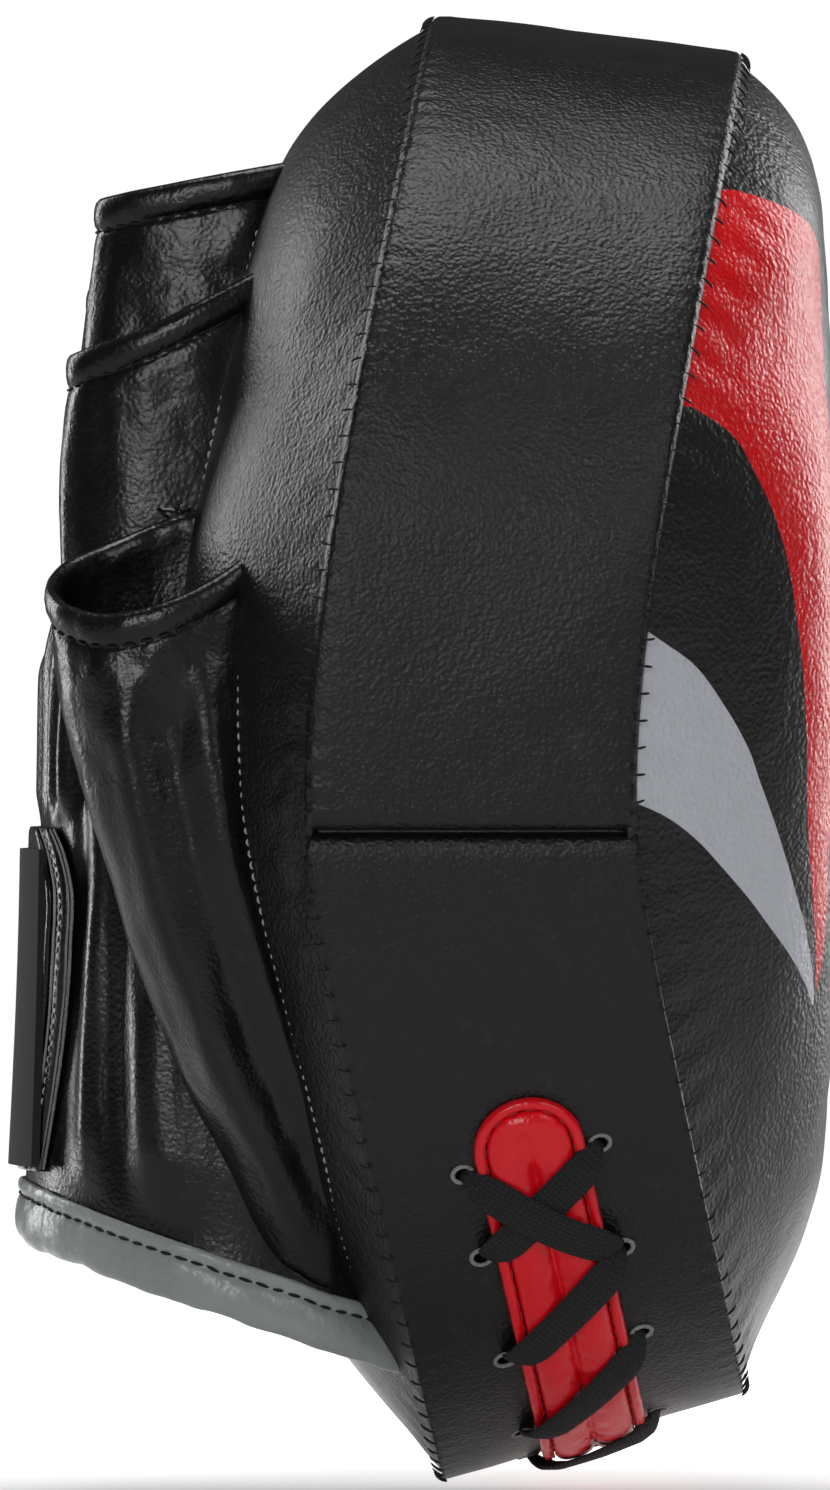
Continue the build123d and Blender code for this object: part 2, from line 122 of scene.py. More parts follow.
def leather(name, colour, rough=0.4, grain=0.5, grainSize=0.8, crease=0.3, wear=(0.05, 0.05, 0.055)):
    paint = Paint(name)
    spot = paint.place()
    warp = paint.noise(900, 2, at=spot)
    pebble = paint.cells(1000 / grainSize, at=spot, kind="SMOOTH_F1")
    fine = paint.noise(2600 / grainSize, 3, 0.6, at=spot)
    wrinkle = paint.noise(230, 4, 0.62, at=spot)
    folds = paint.noise(60, 3, 0.55, at=spot)
    height = pebble * 0.6 + fine * 0.25 + warp * 0.3 + wrinkle * (crease * 2.0)
    patch = folds.between(0.35, 0.7)
    worn = wrinkle.between(0.58, 0.8) * 0.35
    shade = paint.mixColour(worn, colour, tuple(min(1, c + w) for c, w in zip(colour, wear)))
    tone = paint.mixColour(patch * 0.5, shade, tuple(c * 0.75 for c in colour))
    roughness = rough + (patch - 0.5) * 0.07 + (pebble - 0.5) * 0.08
    return paint.finish(Base_Color=tone, Roughness=roughness, Normal=paint.bump(height, 0.00052 * grain))


def woven(name, colour, across=1400.0, along=1400.0, rough=0.85, depth=0.0002, lift=0.03):
    paint = Paint(name)
    spot = paint.place()
    x, y, z = (paint.node("ShaderNodeSeparateXYZ", None, [spot], out=k) for k in range(3))
    warp = ((y + x * 0.35) * across).math("SINE")
    weft = (z * along).math("SINE")
    height = (warp * weft) * 0.5 + 0.5
    fuzz = paint.noise(4200, 2, at=spot)
    tone = paint.mixColour(height * 0.6 + fuzz * 0.4, colour, tuple(c + lift for c in colour))
    bump = paint.bump(height + fuzz * 0.5, depth)
    return paint.finish(Base_Color=tone, Roughness=rough, Normal=bump)


def threadPaint(name, colour):
    paint = Paint(name)
    twist = paint.noise(5200, 2)
    tone = paint.mixColour(twist, tuple(c * 0.55 for c in colour), colour)
    return paint.finish(Base_Color=tone, Roughness=0.75, Normal=paint.bump(twist, 0.0001))


def strikePaint():
    paint = Paint("strikeLeather")
    spot = paint.place()
    pebble = paint.cells(1150, at=spot, kind="SMOOTH_F1")
    fine = paint.noise(3000, 3, 0.6, at=spot)
    wrinkle = paint.noise(210, 4, 0.62, at=spot)
    folds = paint.noise(55, 3, 0.55, at=spot)
    fray = (fine - 0.5) * 0.12
    red = (paint.field("redPart") + fray).between(-0.12, 0.12)
    grey = (paint.field("greyPart") + fray).between(-0.12, 0.12)
    ring = (paint.field("ringPart") + fray).between(-0.12, 0.12)
    black = paint.mixColour(folds, (0.016, 0.015, 0.016), (0.010, 0.0095, 0.010))
    redTone = paint.mixColour(wrinkle, (0.78, 0.004, 0.008), (0.90, 0.008, 0.012))
    tone = paint.mixColour(red, black, redTone)
    greyTone = paint.mixColour(wrinkle, (0.60, 0.62, 0.68), (0.72, 0.74, 0.80))
    tone = paint.mixColour(grey, tone, greyTone)
    tone = paint.mixColour(ring, tone, (0.42, 0.44, 0.48))
    height = pebble * 0.6 + fine * 0.2 + wrinkle * 0.7
    rough = 0.33 - red * 0.06 + (pebble - 0.5) * 0.08 + (folds - 0.5) * 0.08
    return paint.finish(Base_Color=tone, Roughness=rough, Normal=paint.bump(height, 0.00035))


def lacePaint():
    paint = Paint("laceBraid")
    u, v = paint.field("laceAlong"), paint.field("laceAcross")  # millimetres along and across the lace
    column = v * 1.25 + 20.0
    lane = column.math("FLOOR")
    odd = lane.math("MODULO", 2.0)
    inside = column - lane
    slant = (odd * 2.0 - 1.0) * inside
    beat = u * 0.95 + slant * 0.55 + odd * 0.5
    step = (beat - beat.math("FLOOR")) * pi
    bead = (inside * pi).math("SINE") * step.math("SINE")
    fuzz = paint.noise(5200, 2)
    tone = paint.mixColour(bead * 0.8 + fuzz * 0.2, (0.006, 0.006, 0.0065), (0.034, 0.034, 0.036))
    return paint.finish(Base_Color=tone, Roughness=0.82, Normal=paint.bump(bead * 0.9 + fuzz * 0.3, 0.00045))


def foamPaint():
    paint = Paint("foamCells")
    bubble = paint.cells(1600)
    tone = paint.mixColour(bubble, (0.22, 0.22, 0.235), (0.36, 0.36, 0.38))
    return paint.finish(Base_Color=tone, Roughness=0.95, Normal=paint.bump(bubble, 0.0003))


def napPaint(name, size, depth):
    paint = Paint(name)
    nap = paint.cells(size)
    tuft = paint.noise(size * 2.2, 3, 0.7)
    tone = paint.mixColour(nap + tuft * 0.3, (0.006, 0.006, 0.0065), (0.045, 0.045, 0.047))
    return paint.finish(Base_Color=tone, Roughness=0.95, Normal=paint.bump(nap + tuft, depth))


def rubberPaint():
    paint = Paint("tabRubber")
    speck = paint.noise(3000, 2)
    tone = paint.mixColour(speck, (0.016, 0.016, 0.017), (0.028, 0.028, 0.03))
    rough = 0.6 + (speck - 0.5) * 0.1
    return paint.finish(Base_Color=tone, Roughness=rough, Normal=paint.bump(speck, 0.00008))


padLeather = leather("padLeather", (0.0065, 0.006, 0.0066), rough=0.34, grain=0.6, grainSize=0.75)
gloveLeather = leather("gloveLeather", (0.0055, 0.0051, 0.0058), rough=0.27, grain=0.26, crease=0.14)
liningLeather = leather("liningLeather", (0.013, 0.013, 0.0135), rough=0.55, grain=0.5, grainSize=0.9)
redLeather = leather("redLeather", (0.93, 0.006, 0.016), rough=0.25, grain=0.30, grainSize=0.9,
                     crease=0.5, wear=(0.1, 0.02, 0.02))
greyBinding = leather("greyBinding", (0.37, 0.40, 0.395), rough=0.26, grain=0.3, grainSize=1.3,
                      crease=0.5, wear=(0.12, 0.12, 0.12))
rawEdge = leather("rawEdge", (0.36, 0.37, 0.38), rough=0.85, grain=1.4, grainSize=0.35,
                  crease=0.7, wear=(0.25, 0.25, 0.25))
strikeLeather = strikePaint()
laceBraid = lacePaint()
webbing = woven("webbing", (0.012, 0.012, 0.013), across=2600.0, along=5200.0)
darkThread = threadPaint("darkThread", (0.010, 0.010, 0.011))
whiteThread = threadPaint("whiteThread", (0.62, 0.62, 0.63))
redThread = threadPaint("redThread", (0.55, 0.035, 0.04))
foamCells = foamPaint()
hookNap = napPaint("hookNap", 1500, 0.0006)
loopNap = napPaint("loopNap", 900, 0.0008)
tabRubber = rubberPaint()
print("materials made")

# the pad's shape: millimetres, +X the strike side, -Y the thumb's side
pad = {"station": 48.0, "top": 143.0, "bottom": -125.0, "halfWidth": 100.0, "corner": 33.0,
       "topLean": 0.12, "bottomLean": 0.29, "sideLean": 0.02, "rearEdge": 22.8, "bandWidth": 58.6,
       "coverInset": 3.2, "coverTuck": 1.5, "face": 116.8, "faceRun": 40.0, "backRun": 50.0,
       "dishDepth": 8.0, "dishRadius": 58.0, "dishZ": 14.0, "seamZ": -5.7}


def bow(z):
    def side(depth, soft):
        return depth * (np.sqrt(1 + (z / soft) ** 2) - 1) / (sqrt(1 + (pad["top"] / soft) ** 2) - 1)
    return np.where(z > 0, side(22.5, 45.0), side(29.0, 20.0))


def rearEdge(z):
    return pad["rearEdge"] + bow(z)


def egg(x):
    forward = x - pad["station"]
    topRadius = pad["halfWidth"] - pad["sideLean"] * forward
    top = pad["top"] - pad["topLean"] * forward - topRadius
    bottom = pad["bottom"] + pad["bottomLean"] * forward
    turn = tan(radians(pad["corner"] / 2))
    span = (top - bottom - topRadius) / (1 - turn)
    offset = span / tan(radians(pad["corner"]))
    return top, top - span, topRadius, topRadius + offset, topRadius - span * turn, offset


def insetOf(x, y, z):
    top, bottom, topRadius, sideRadius, bottomRadius, offset = egg(x)
    high = topRadius - np.hypot(y, z - top)
    side = sideRadius - np.hypot(np.abs(y) + offset, z - top)
    low = bottomRadius - np.hypot(y, z - bottom)
    onSide = np.arctan2(top - z, np.abs(y) + offset) < radians(pad["corner"])
    return np.where(z >= top, high, np.where(onSide, side, low))


def rise(inset, run, full=0.0):
    # full takes the dome's profile from a plain sine to a fuller one
    share = inset / run
    inside = np.clip(share, 0, 1)
    dome = np.sin(pi / 2 * inside) * (1 - full) + (1 - (1 - inside) ** 3.3) * full
    return np.where(share < 0, share * pi / 2, dome)


def easeUp(value):
    value = np.clip(value, 0, 1)
    return value * value * (3 - 2 * value)


def backX(y, z):
    fade = np.clip((-z - 55.0) / 65.0, 0, 1)
    height = (pad["rearEdge"] + pad["coverTuck"]) * (1 - 0.22 * fade * fade * (3 - 2 * fade))
    inside = insetOf(rearEdge(z), y, z) - pad["coverInset"]
    return rearEdge(z) + pad["coverTuck"] - height * rise(inside, pad["backRun"], easeUp((z - 70) / 40))


def strikeX(y, z):
    face = pad["face"] - 1.5 * ((z - 20.0) / 75.0) ** 2
    high = easeUp((z - 75) / 35)
    edge = rearEdge(z) + pad["bandWidth"]
    hollow = np.clip(1 - (y**2 + (z - pad["dishZ"]) ** 2) / pad["dishRadius"] ** 2, 0, None)
    dome = rise(insetOf(edge, y, z) - pad["coverInset"], pad["faceRun"] - 10 * high, high)
    lift = (face - edge + pad["coverTuck"]) * dome
    return edge - pad["coverTuck"] + lift - pad["dishDepth"] * hollow**2


def rimAt(x, turn, inset):
    # turn runs 0 at the lowest point, 1 and 2 at the ends of the lower and side arcs, 3 at the top
    # and is positive on the thumb's side
    top, bottom, topRadius, sideRadius, bottomRadius, offset = egg(x)
    side, t = -np.sign(turn), np.abs(turn)
    corner = radians(pad["corner"])
    a = np.clip(t, 0, 1) * (pi / 2 - corner)
    b = corner * (2 - np.clip(t, 1, 2))
    c = np.clip(t - 2, 0, 1) * pi / 2
    y = np.where(t < 1, (bottomRadius - inset) * np.sin(a),
                 np.where(t < 2, (sideRadius - inset) * np.cos(b) - offset, (topRadius - inset) * np.cos(c)))
    z = np.where(t < 1, bottom - (bottomRadius - inset) * np.cos(a),
                 np.where(t < 2, top - (sideRadius - inset) * np.sin(b),
                          top + (topRadius - inset) * np.sin(c)))
    return side * y, z


def turnAt(x, distance):
    # the same, from a distance round the rim
    top, bottom, topRadius, sideRadius, bottomRadius, offset = egg(x)
    corner = radians(pad["corner"])
    first, second, third = bottomRadius * (pi / 2 - corner), sideRadius * corner, topRadius * pi / 2
    d = np.abs(distance)
    t = np.where(d < first, d / first, np.where(d < first + second, 1 + (d - first) / second,
                                                2 + (d - first - second) / third))
    return np.sign(distance) * t


def bandPoint(turn, across, height):
    # a point on the rim, across from the band's rear edge and standing off the outline by height
    turn, across, height = np.broadcast_arrays(*[np.asarray(v, float) for v in (turn, across, height)])
    x = np.full(turn.shape, 50.0)
    for _ in range(10):
        y, z = rimAt(x, turn, -height)
        x = rearEdge(z) + across
    return np.stack([x, y, z], -1)


def lacePoint(distance, aside, height):
    # the same, by distance round the rim and aside from the band's middle line
    distance, aside, height = np.broadcast_arrays(*[np.asarray(v, float) for v in (distance, aside, height)])
    x = np.full(distance.shape, 60.0)
    for _ in range(10):
        y, z = rimAt(x, turnAt(x, distance), -height)
        x = rearEdge(z) + pad["bandWidth"] / 2 + aside
    return np.stack([x, y, z], -1)


def evenTurns(low, high, count):
    turns = np.linspace(low, high, 2400)
    path = bandPoint(turns, pad["bandWidth"] / 2, 0.0)
    run = np.concatenate([[0], np.cumsum(np.linalg.norm(np.diff(path, axis=0), axis=1))])
    return np.interp(np.linspace(0, run[-1], count), run, turns)


def turnAtHeight(z, across):
    low, high = np.full(np.shape(across), 0.3), np.full(np.shape(across), 2.9)
    for _ in range(30):
        middle = (low + high) / 2
        above = bandPoint(middle, across, 0.0)[..., 2] > z
        low, high = np.where(above, low, middle), np.where(above, middle, high)
    return (low + high) / 2


def cloud(points, size, seed=0.0):
    # smooth noise from -1 to 1, the same on every run
    p = np.asarray(points, float) / size + np.array([seed * 7.31, seed * 3.17, seed * 5.71])
    cell = np.floor(p).astype(np.int64)
    f = p - cell
    f = f * f * (3 - 2 * f)
    total = 0.0
    for corner in np.ndindex(2, 2, 2):
        key = (cell + corner) % 4096
        mixed = (key[..., 0] * 73856093) ^ (key[..., 1] * 19349663) ^ (key[..., 2] * 83492791)
        mixed = ((mixed ^ (mixed >> 13)) * 1274126177) % 2147483647
        weight = np.prod(np.where(np.array(corner), f, 1 - f), -1)
        total = total + weight * (mixed / 1073741823.5 - 1)
    return total


def cloudLayers(points, size, seed=0.0, layers=3):
    return sum(cloud(points, size / 2**i, seed + i) / 2**i for i in range(layers))


# mesh helpers
def applyModifiers(piece):
    bpy.context.view_layer.update()
    done = bpy.data.meshes.new_from_object(piece.evaluated_get(bpy.context.evaluated_depsgraph_get()))
    piece.modifiers.clear()
    piece.data = done


def meshPiece(name, points, faces, paint, body, slot, levels=0, thickness=0.0, fields=None):
    mesh = bpy.data.meshes.new(name)
    points = np.asarray(points, float).reshape(-1, 3)
    mesh.from_pydata((points * 0.001).tolist(), [], [list(map(int, f)) for f in faces])
    for key, values in (fields or {}).items():
        layer = mesh.attributes.new(key, "FLOAT", "POINT")
        layer.data.foreach_set("value", np.ravel(values).astype(np.float32))
    mesh.polygons.foreach_set("use_smooth", [True] * len(mesh.polygons))
    mesh.materials.append(paint)
    mesh.update()
    piece = bpy.data.objects.new(name, mesh)
    bpy.context.scene.collection.objects.link(piece)
    if thickness:
        shell = piece.modifiers.new("shell", "SOLIDIFY")
        shell.thickness = thickness * 0.001
    if levels:
        smooth = piece.modifiers.new("smooth", "SUBSURF")
        smooth.levels = smooth.render_levels = levels
    if thickness or levels:
        applyModifiers(piece)
    if body:
        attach(piece, body)
    return piece


def gridFaces(rows, columns, closeRows=False, closeColumns=False, start=0, flip=False):
    faces = []
    for i in range(rows if closeRows else rows - 1):
        for j in range(columns if closeColumns else columns - 1):
            a, b = i * columns + j, i * columns + (j + 1) % columns
            c, d = ((i + 1) % rows) * columns + (j + 1) % columns, ((i + 1) % rows) * columns + j
            face = (a + start, b + start, c + start, d + start)
            faces.append(face[::-1] if flip else face)
    return faces


def sheetPiece(name, grid, paint, body, slot, closeRows=False, closeColumns=False, flip=False, **more):
    faces = gridFaces(*grid.shape[:2], closeRows, closeColumns, flip=flip)
    return meshPiece(name, grid, faces, paint, body, slot, **more)


def endCaps(rows, columns, start=0):
    # the faces that close both ends of a tube of rings
    last = start + (rows - 1) * columns
    return [tuple(start + k for k in range(columns))[::-1], tuple(last + k for k in range(columns))]


def slabFaces(rows, columns):
    # an upper grid, a lower grid and the wall round them
    count = rows * columns
    border = list(range(columns)) + [i * columns + columns - 1 for i in range(1, rows)]
    border += [(rows - 1) * columns + j for j in range(columns - 2, -1, -1)]
    border += [i * columns for i in range(rows - 2, 0, -1)]
    faces = gridFaces(rows, columns, flip=True) + gridFaces(rows, columns, start=count)
    return faces + [(p, q, q + count, p + count) for p, q in zip(border, border[1:] + border[:1])]


def frames(path, up):
    ahead = np.gradient(path, axis=0)
    ahead /= np.linalg.norm(ahead, axis=1, keepdims=True)
    side = np.cross(ahead, up)
    side /= np.linalg.norm(side, axis=1, keepdims=True)
    return ahead, side, np.cross(side, ahead)


def resample(path, step):
    run = np.concatenate([[0], np.cumsum(np.linalg.norm(np.diff(path, axis=0), axis=1))])
    spots = np.arange(step / 2, run[-1], step)
    return spots, run


def stitches(name, rows, paint, body, slot, spacing, length, thick, across=False, seed=1.0):
    # thread along each (path, up) row: short fat dashes that dive into the leather at both ends
    points, faces, base = [], [], 0
    t = np.linspace(-1, 1, 7)
    ring = np.linspace(0, 2 * pi, 6, endpoint=False)
    for path, up in rows:
        ahead, side, lift = frames(path, up)
        spots, run = resample(path, spacing)
        centre, ahead, side, lift = (
            np.stack([np.interp(spots, run, values[:, k]) for k in range(3)], -1)
            for values in (path, ahead, side, lift))
        if across:
            ahead, side = side, -ahead
        wobble = cloud(centre, 2.0, seed)[:, None]
        ahead = ahead + side * wobble * 0.22
        size = length * (1 + 0.15 * wobble)
        radius = thick / 2 * np.sqrt(np.clip(1 - (0.92 * t) ** 2, 0, 1))
        shapes = []
        for k in range(len(t)):
            arch = thick * 0.55 * (1 - t[k] ** 2) - thick * 0.25
            middle = centre + ahead * size * 0.5 * t[k] + lift * arch
            for angle in ring:
                shapes.append(middle + side * radius[k] * cos(angle) + lift * radius[k] * sin(angle))
        for dash in np.array(shapes).transpose(1, 0, 2):
            points.append(dash)
            faces += gridFaces(len(t), len(ring), closeColumns=True, start=base)
            faces += endCaps(len(t), len(ring), base)
            base += len(dash)
    return meshPiece(name, np.concatenate(points), faces, paint, body, slot)


def tube(path, up, wide, tall, sides):
    # rings of an oval section along a path, for gridFaces
    _, side, lift = frames(path, up)
    angles = np.linspace(0, 2 * pi, sides, endpoint=False)
    across = side[:, None] * np.cos(angles)[None, :, None] * wide
    return path[:, None] + across + lift[:, None] * np.sin(angles)[None, :, None] * tall


def smoothLine(knots, at):
    xs, ys = np.array(knots, float).T
    slope = np.gradient(ys, xs)
    k = np.clip(np.searchsorted(xs, at) - 1, 0, len(xs) - 2)
    h = xs[k + 1] - xs[k]
    t = np.clip((at - xs[k]) / h, 0, 1)
    return ((2 * t**3 - 3 * t**2 + 1) * ys[k] + (t**3 - 2 * t**2 + t) * h * slope[k]
            + (-2 * t**3 + 3 * t**2) * ys[k + 1] + (t**3 - t**2) * h * slope[k + 1])


# pad covers
def coverGrid(function, edgeShift, rings, around, seed, sign):
    turns = evenTurns(-3, 3, around + 1)[:-1]
    rim = bandPoint(turns, edgeShift, -2.6)
    centre = np.array([0, 0, 12.0])
    share = np.linspace(0, 1, rings) ** 0.8
    grid = np.zeros((rings, around, 3))
    grid[..., 1] = share[:, None] * (rim[None, :, 1] - centre[1])
    grid[..., 2] = centre[2] + share[:, None] * (rim[None, :, 2] - centre[2])
    grid[..., 0] = function(grid[..., 1], grid[..., 2])
    edge = rearEdge(grid[..., 2]) + (pad["bandWidth"] if sign > 0 else 0)
    inset = insetOf(edge, grid[..., 1], grid[..., 2])
    soft = cloudLayers(grid, 26.0, seed) * 0.55 * np.clip(inset / 14, 0, 1)
    gather = np.exp(-((inset - 6.5) / 4.0) ** 2)
    run = np.cumsum(np.concatenate([[0], np.linalg.norm(np.diff(rim, axis=0), axis=1)]))[None, :]
    pucker = np.sin(run * 2 * pi / 8.3 + 2.2 * cloud(rim, 30.0, seed)[None, :])
    pucker = pucker * (0.6 + 0.6 * cloud(rim, 14.0, seed + 2)[None, :])
    crumple = 0.0
    if sign < 0:  # the crumpled leather beside the thumb's hem
        y, z = grid[..., 1], grid[..., 2]
        near = np.exp(-((z - 3) / 26) ** 2) * (y < 0) * np.exp(-((inset - 7) / 5.0) ** 2)
        ripple = 0.8 * np.sin(z * 1.5 + 3 * cloud(grid, 12.0, 14.0))
        crumple = near * (1.5 * cloudLayers(grid * np.array([1, 1, 2.6]), 9.0, 12.0) + ripple)
    grid[..., 0] += sign * (soft + 0.30 * pucker * gather) + crumple
    return grid, inset


# the crescents' edges: the red one as (height, inset from the rim), the grey one as (inset, height)
redKnots = {"outer": ((-38, 31.6), (-9, 29.6), (11, 28.4), (29, 26.0), (47, 22.0), (57.5, 17.0),
                      (66, 10.5), (71, 2.0)),
            "inner": ((-38, 31.0), (-20, 34.5), (0, 36.6), (20, 37.8), (40, 38.0), (63, 36.3),
                      (81, 32.2), (93.5, 25.4), (103.5, 15.5), (109, 2.0))}
greyKnots = {"lower": ((2.0, 1.0), (9.9, -5.0), (16.5, -15.0), (22.9, -25.0), (28, -32.5), (31.6, -38)),
             "upper": ((2.0, 31.5), (12, 21.6), (18.2, 9.5), (24, -8), (28.4, -24), (31.6, -37))}


def makeCovers():
    grid, inset = coverGrid(strikeX, pad["bandWidth"], 96, 420, 3.0, 1)
    z, y = grid[..., 2], grid[..., 1]
    outer, inner = smoothLine(redKnots["outer"], z), smoothLine(redKnots["inner"], z)
    outer = np.where(z > 70, -2.0, outer)
    red = np.minimum(inset - outer, inner - inset)
    red = np.where((z < -37.5) | (z > 108.5), -3.0, red)
    low, high = smoothLine(greyKnots["lower"], inset), smoothLine(greyKnots["upper"], inset)
    grey = np.where(inset > 31.6, -3.0, np.minimum(z - low, high - z))
    distance = np.hypot(y, z - pad["dishZ"])
    ring = np.maximum(1.6 - np.abs(distance - 31.0), 1.2 - np.abs(distance - 8.0))
    marks = {"redPart": red, "greyPart": grey, "ringPart": ring}
    cover = sheetPiece("strikeCover", grid, strikeLeather, "mitt", "strike_leather", closeColumns=True,
                       flip=True, thickness=1.5, fields=marks)
    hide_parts("strike_cover")
    grid, _ = coverGrid(backX, 0.0, 80, 360, 9.0, -1)
    cover = sheetPiece("backCover", grid, padLeather, "mitt", "pad_leather", closeColumns=True,
                       thickness=1.5)
    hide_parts("back_cover")
    print("covers made")


# edge bands
band = {"upperRoll": 2.6, "lowerDrop": 0.5, "upperPuff": 0.7, "upperRows": 381, "lowerRows": 301}


def bandGrid(turns, across, heights, seed, soft, pucker):
    turns2, across2 = np.broadcast_arrays(turns, across[None, :])
    base = bandPoint(turns2, across2, 0.0)
    edge = np.minimum(across, pad["bandWidth"] - across)
    run = np.concatenate([[0], np.cumsum(np.linalg.norm(np.diff(base[:, len(across) // 2], axis=0), axis=1))])
    wave = np.sin(run * 2 * pi / 4.6 + 1.5 * cloud(base[:, 0], 20.0, seed))
    wave = wave * (0.5 + 0.5 * cloud(base[:, 0], 12.0, seed + 1))
    lift = heights[None, :] + soft * cloudLayers(base, 30.0, seed) * np.clip(edge / 10, 0, 1)[None, :]
    lift = lift + pucker * wave[:, None] * np.exp(-((edge - 1.5) / 2.5) ** 2)[None, :]
    return bandPoint(turns2, across2, lift)


def makeBands():
    width = pad["bandWidth"]
    roll, count = band["upperRoll"], band["upperRows"]
    bend = np.linspace(0, pi / 2, 7)
    inX = np.concatenate([[2.4, 1.0, 0.25], roll * (1 - np.cos(bend)) * 0.75])
    inH = np.concatenate([[-2.9, -2.9, -2.6], -roll * (1 - np.sin(bend))])
    middle = np.linspace(inX[-1] + 1.6, width - inX[-1] - 1.6, 34)
    puff = band["upperPuff"] * (1 - ((2 * middle - width) / width) ** 4)
    across = np.concatenate([inX, middle, width - inX[::-1]])
    heights = np.concatenate([inH, puff, inH[::-1]])
    limit = turnAtHeight(pad["seamZ"] + 0.25, across)
    ease = np.linspace(-1, 1, count)
    turns = np.where(ease[:, None] < 0, -(limit[None, :] + (3 - limit[None, :]) * (ease[:, None] + 1)),
                     limit[None, :] + (3 - limit[None, :]) * (1 - ease[:, None]))
    grid = bandGrid(turns, across, heights, 21.0, 0.45, 0.28)
    # the folded ends roll in at the side seams
    for k, sink in enumerate((2.2, 0.9, 0.3)):
        for row in (k, count - 1 - k):
            grid[row] = bandPoint(turns[row], across, np.minimum(heights, 0.4) - sink)
    upper = sheetPiece("upperBand", grid, padLeather, "mitt", "pad_leather", flip=True)
    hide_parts("upper_edge_band")

    drop, count = band["lowerDrop"], band["lowerRows"]
    across = np.concatenate([[0.5, 0.0, 0.05, 0.35], np.linspace(1.2, width - 1.2, 36),
                             [width - 0.35, width - 0.05, width, width - 0.5]])
    edge = np.array([-2.9, -2.7, -0.95, -drop - 0.05])
    heights = np.concatenate([edge, np.full(36, -drop), edge[::-1]])
    limit = turnAtHeight(pad["seamZ"] - 0.25, across)
    turns = np.linspace(-1, 1, count)[:, None] * limit[None, :]
    grid = bandGrid(turns, across, heights, 33.0, 0.35, 0.15)
    for k, sink in enumerate((2.0, 0.6, 0.15)):
        for row in (k, count - 1 - k):
            grid[row] = bandPoint(turns[row], across, heights - sink)
    lower = sheetPiece("lowerBand", grid, padLeather, "mitt", "pad_leather", thickness=1.2)
    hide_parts("lower_edge_band")
    print("bands made")
    return lower


# lacing
# front and rear are the eyelets' distances round the rim, in millimetres from the lowest point
lacing = {"tongueHalf": 7.8, "tongueHeight": 2.5, "pipe": 2.2, "tongueTop": -61.5, "eyeletAside": 12.8,
          "laceWidth": 7.0, "laceThick": 1.1,
          "front": (100.0, 77.0, 55.0, 20.0, -10.0, -36.0, -57.0, -78.0, -99.0),
          "rear": (100.0, 82.0, 57.0, 30.0, 3.0, -24.0, -50.0, -76.0, -100.0)}


def distanceAtHeight(z):
    low, high = 30.0, 180.0
    for _ in range(40):
        middle = (low + high) / 2
        low, high = (low, middle) if lacePoint(middle, 0.0, 0.0)[2] > z else (middle, high)
    return (low + high) / 2


def eyeletSpot(row, number):
    distance = lacing["front" if row > 0 else "rear"][number]
    return distance, row * lacing["eyeletAside"]


def cutEyelets(lower):
    points, faces = [], []
    angles = np.linspace(0, 2 * pi, 20, endpoint=False)
    for row in (-1, 1):
        for number in range(9):
            s, a = eyeletSpot(row, number)
            start = len(points) * 20
            points += [lacePoint(s + 1.5 * np.sin(angles), a + 1.75 * np.cos(angles), h) for h in (-6.0, 3.0)]
            faces += gridFaces(2, 20, closeColumns=True, start=start)
            faces += endCaps(2, 20, start)
    mesh = bpy.data.meshes.new("eyeletTool")
    mesh.from_pydata((np.concatenate(points) * 0.001).tolist(), [], faces)
    tool = bpy.data.objects.new("eyeletTool", mesh)
    bpy.context.scene.collection.objects.link(tool)
    shape = bmesh.new()
    shape.from_mesh(mesh)
    bmesh.ops.recalc_face_normals(shape, faces=shape.faces)
    shape.to_mesh(mesh)
    shape.free()
    cut = lower.modifiers.new("eyelets", "BOOLEAN")
    cut.operation, cut.solver, cut.object = "DIFFERENCE", "EXACT", tool
    applyModifiers(lower)
    bpy.data.objects.remove(tool)


def tongueTopHeight(s, a, end):
    # the tongue's surface: one dome at each end, two lobes with a crease between them further in
    half = lacing["tongueHalf"]
    beyond = np.clip(np.abs(s) - end, 0, None)
    radius = np.sqrt(a**2 + beyond**2) / half
    dome = np.sqrt(np.clip(1 - radius**2, 0, 1))
    lobe = np.sqrt(np.clip(1 - ((np.abs(a) - half / 2) / (half / 2 + 0.05)) ** 2, 0, 1))
    split = easeUp((end + 1.0 - np.abs(s)) / 5.0)
    pinch = 0.9 * np.exp(-((a + 0.8) ** 2) / 1.5 - (np.abs(s) - end - 1.5) ** 2 / 6.0)
    body = (dome**0.8) * (1 - split) + (lobe**0.8) * split
    return 0.1 + lacing["tongueHeight"] * body - pinch


def makeTongue(end):
    half = lacing["tongueHalf"]
    run = np.concatenate([np.linspace(-end - half * 0.999, -end, 16)[:-1], np.linspace(-end, end, 240),
                          np.linspace(end, end + half * 0.999, 16)[1:]])
    wide = np.where(np.abs(run) > end, np.sqrt(np.clip(half**2 - (np.abs(run) - end) ** 2, 0, None)), half)
    share = np.sin(np.linspace(-pi / 2, pi / 2, 41))
    a = wide[:, None] * share[None, :]
    s = np.broadcast_to(run[:, None], a.shape)
    h = tongueTopHeight(s, a, end)
    spot = np.stack([s, a, h], -1)
    pull = np.sin(s * 2 * pi / 6.2 + 2 * cloud(spot, 11.0, 4.0)) * np.exp(-(a / 2.6) ** 2) * 0.22
    h = h + pull + 0.16 * cloudLayers(spot, 7.0, 5.0)
    tongue = sheetPiece("laceTongue", lacePoint(s, a, h), redLeather, "mitt", "red_leather",
                        thickness=1.0, levels=1)
    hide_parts("lacing_tongue")


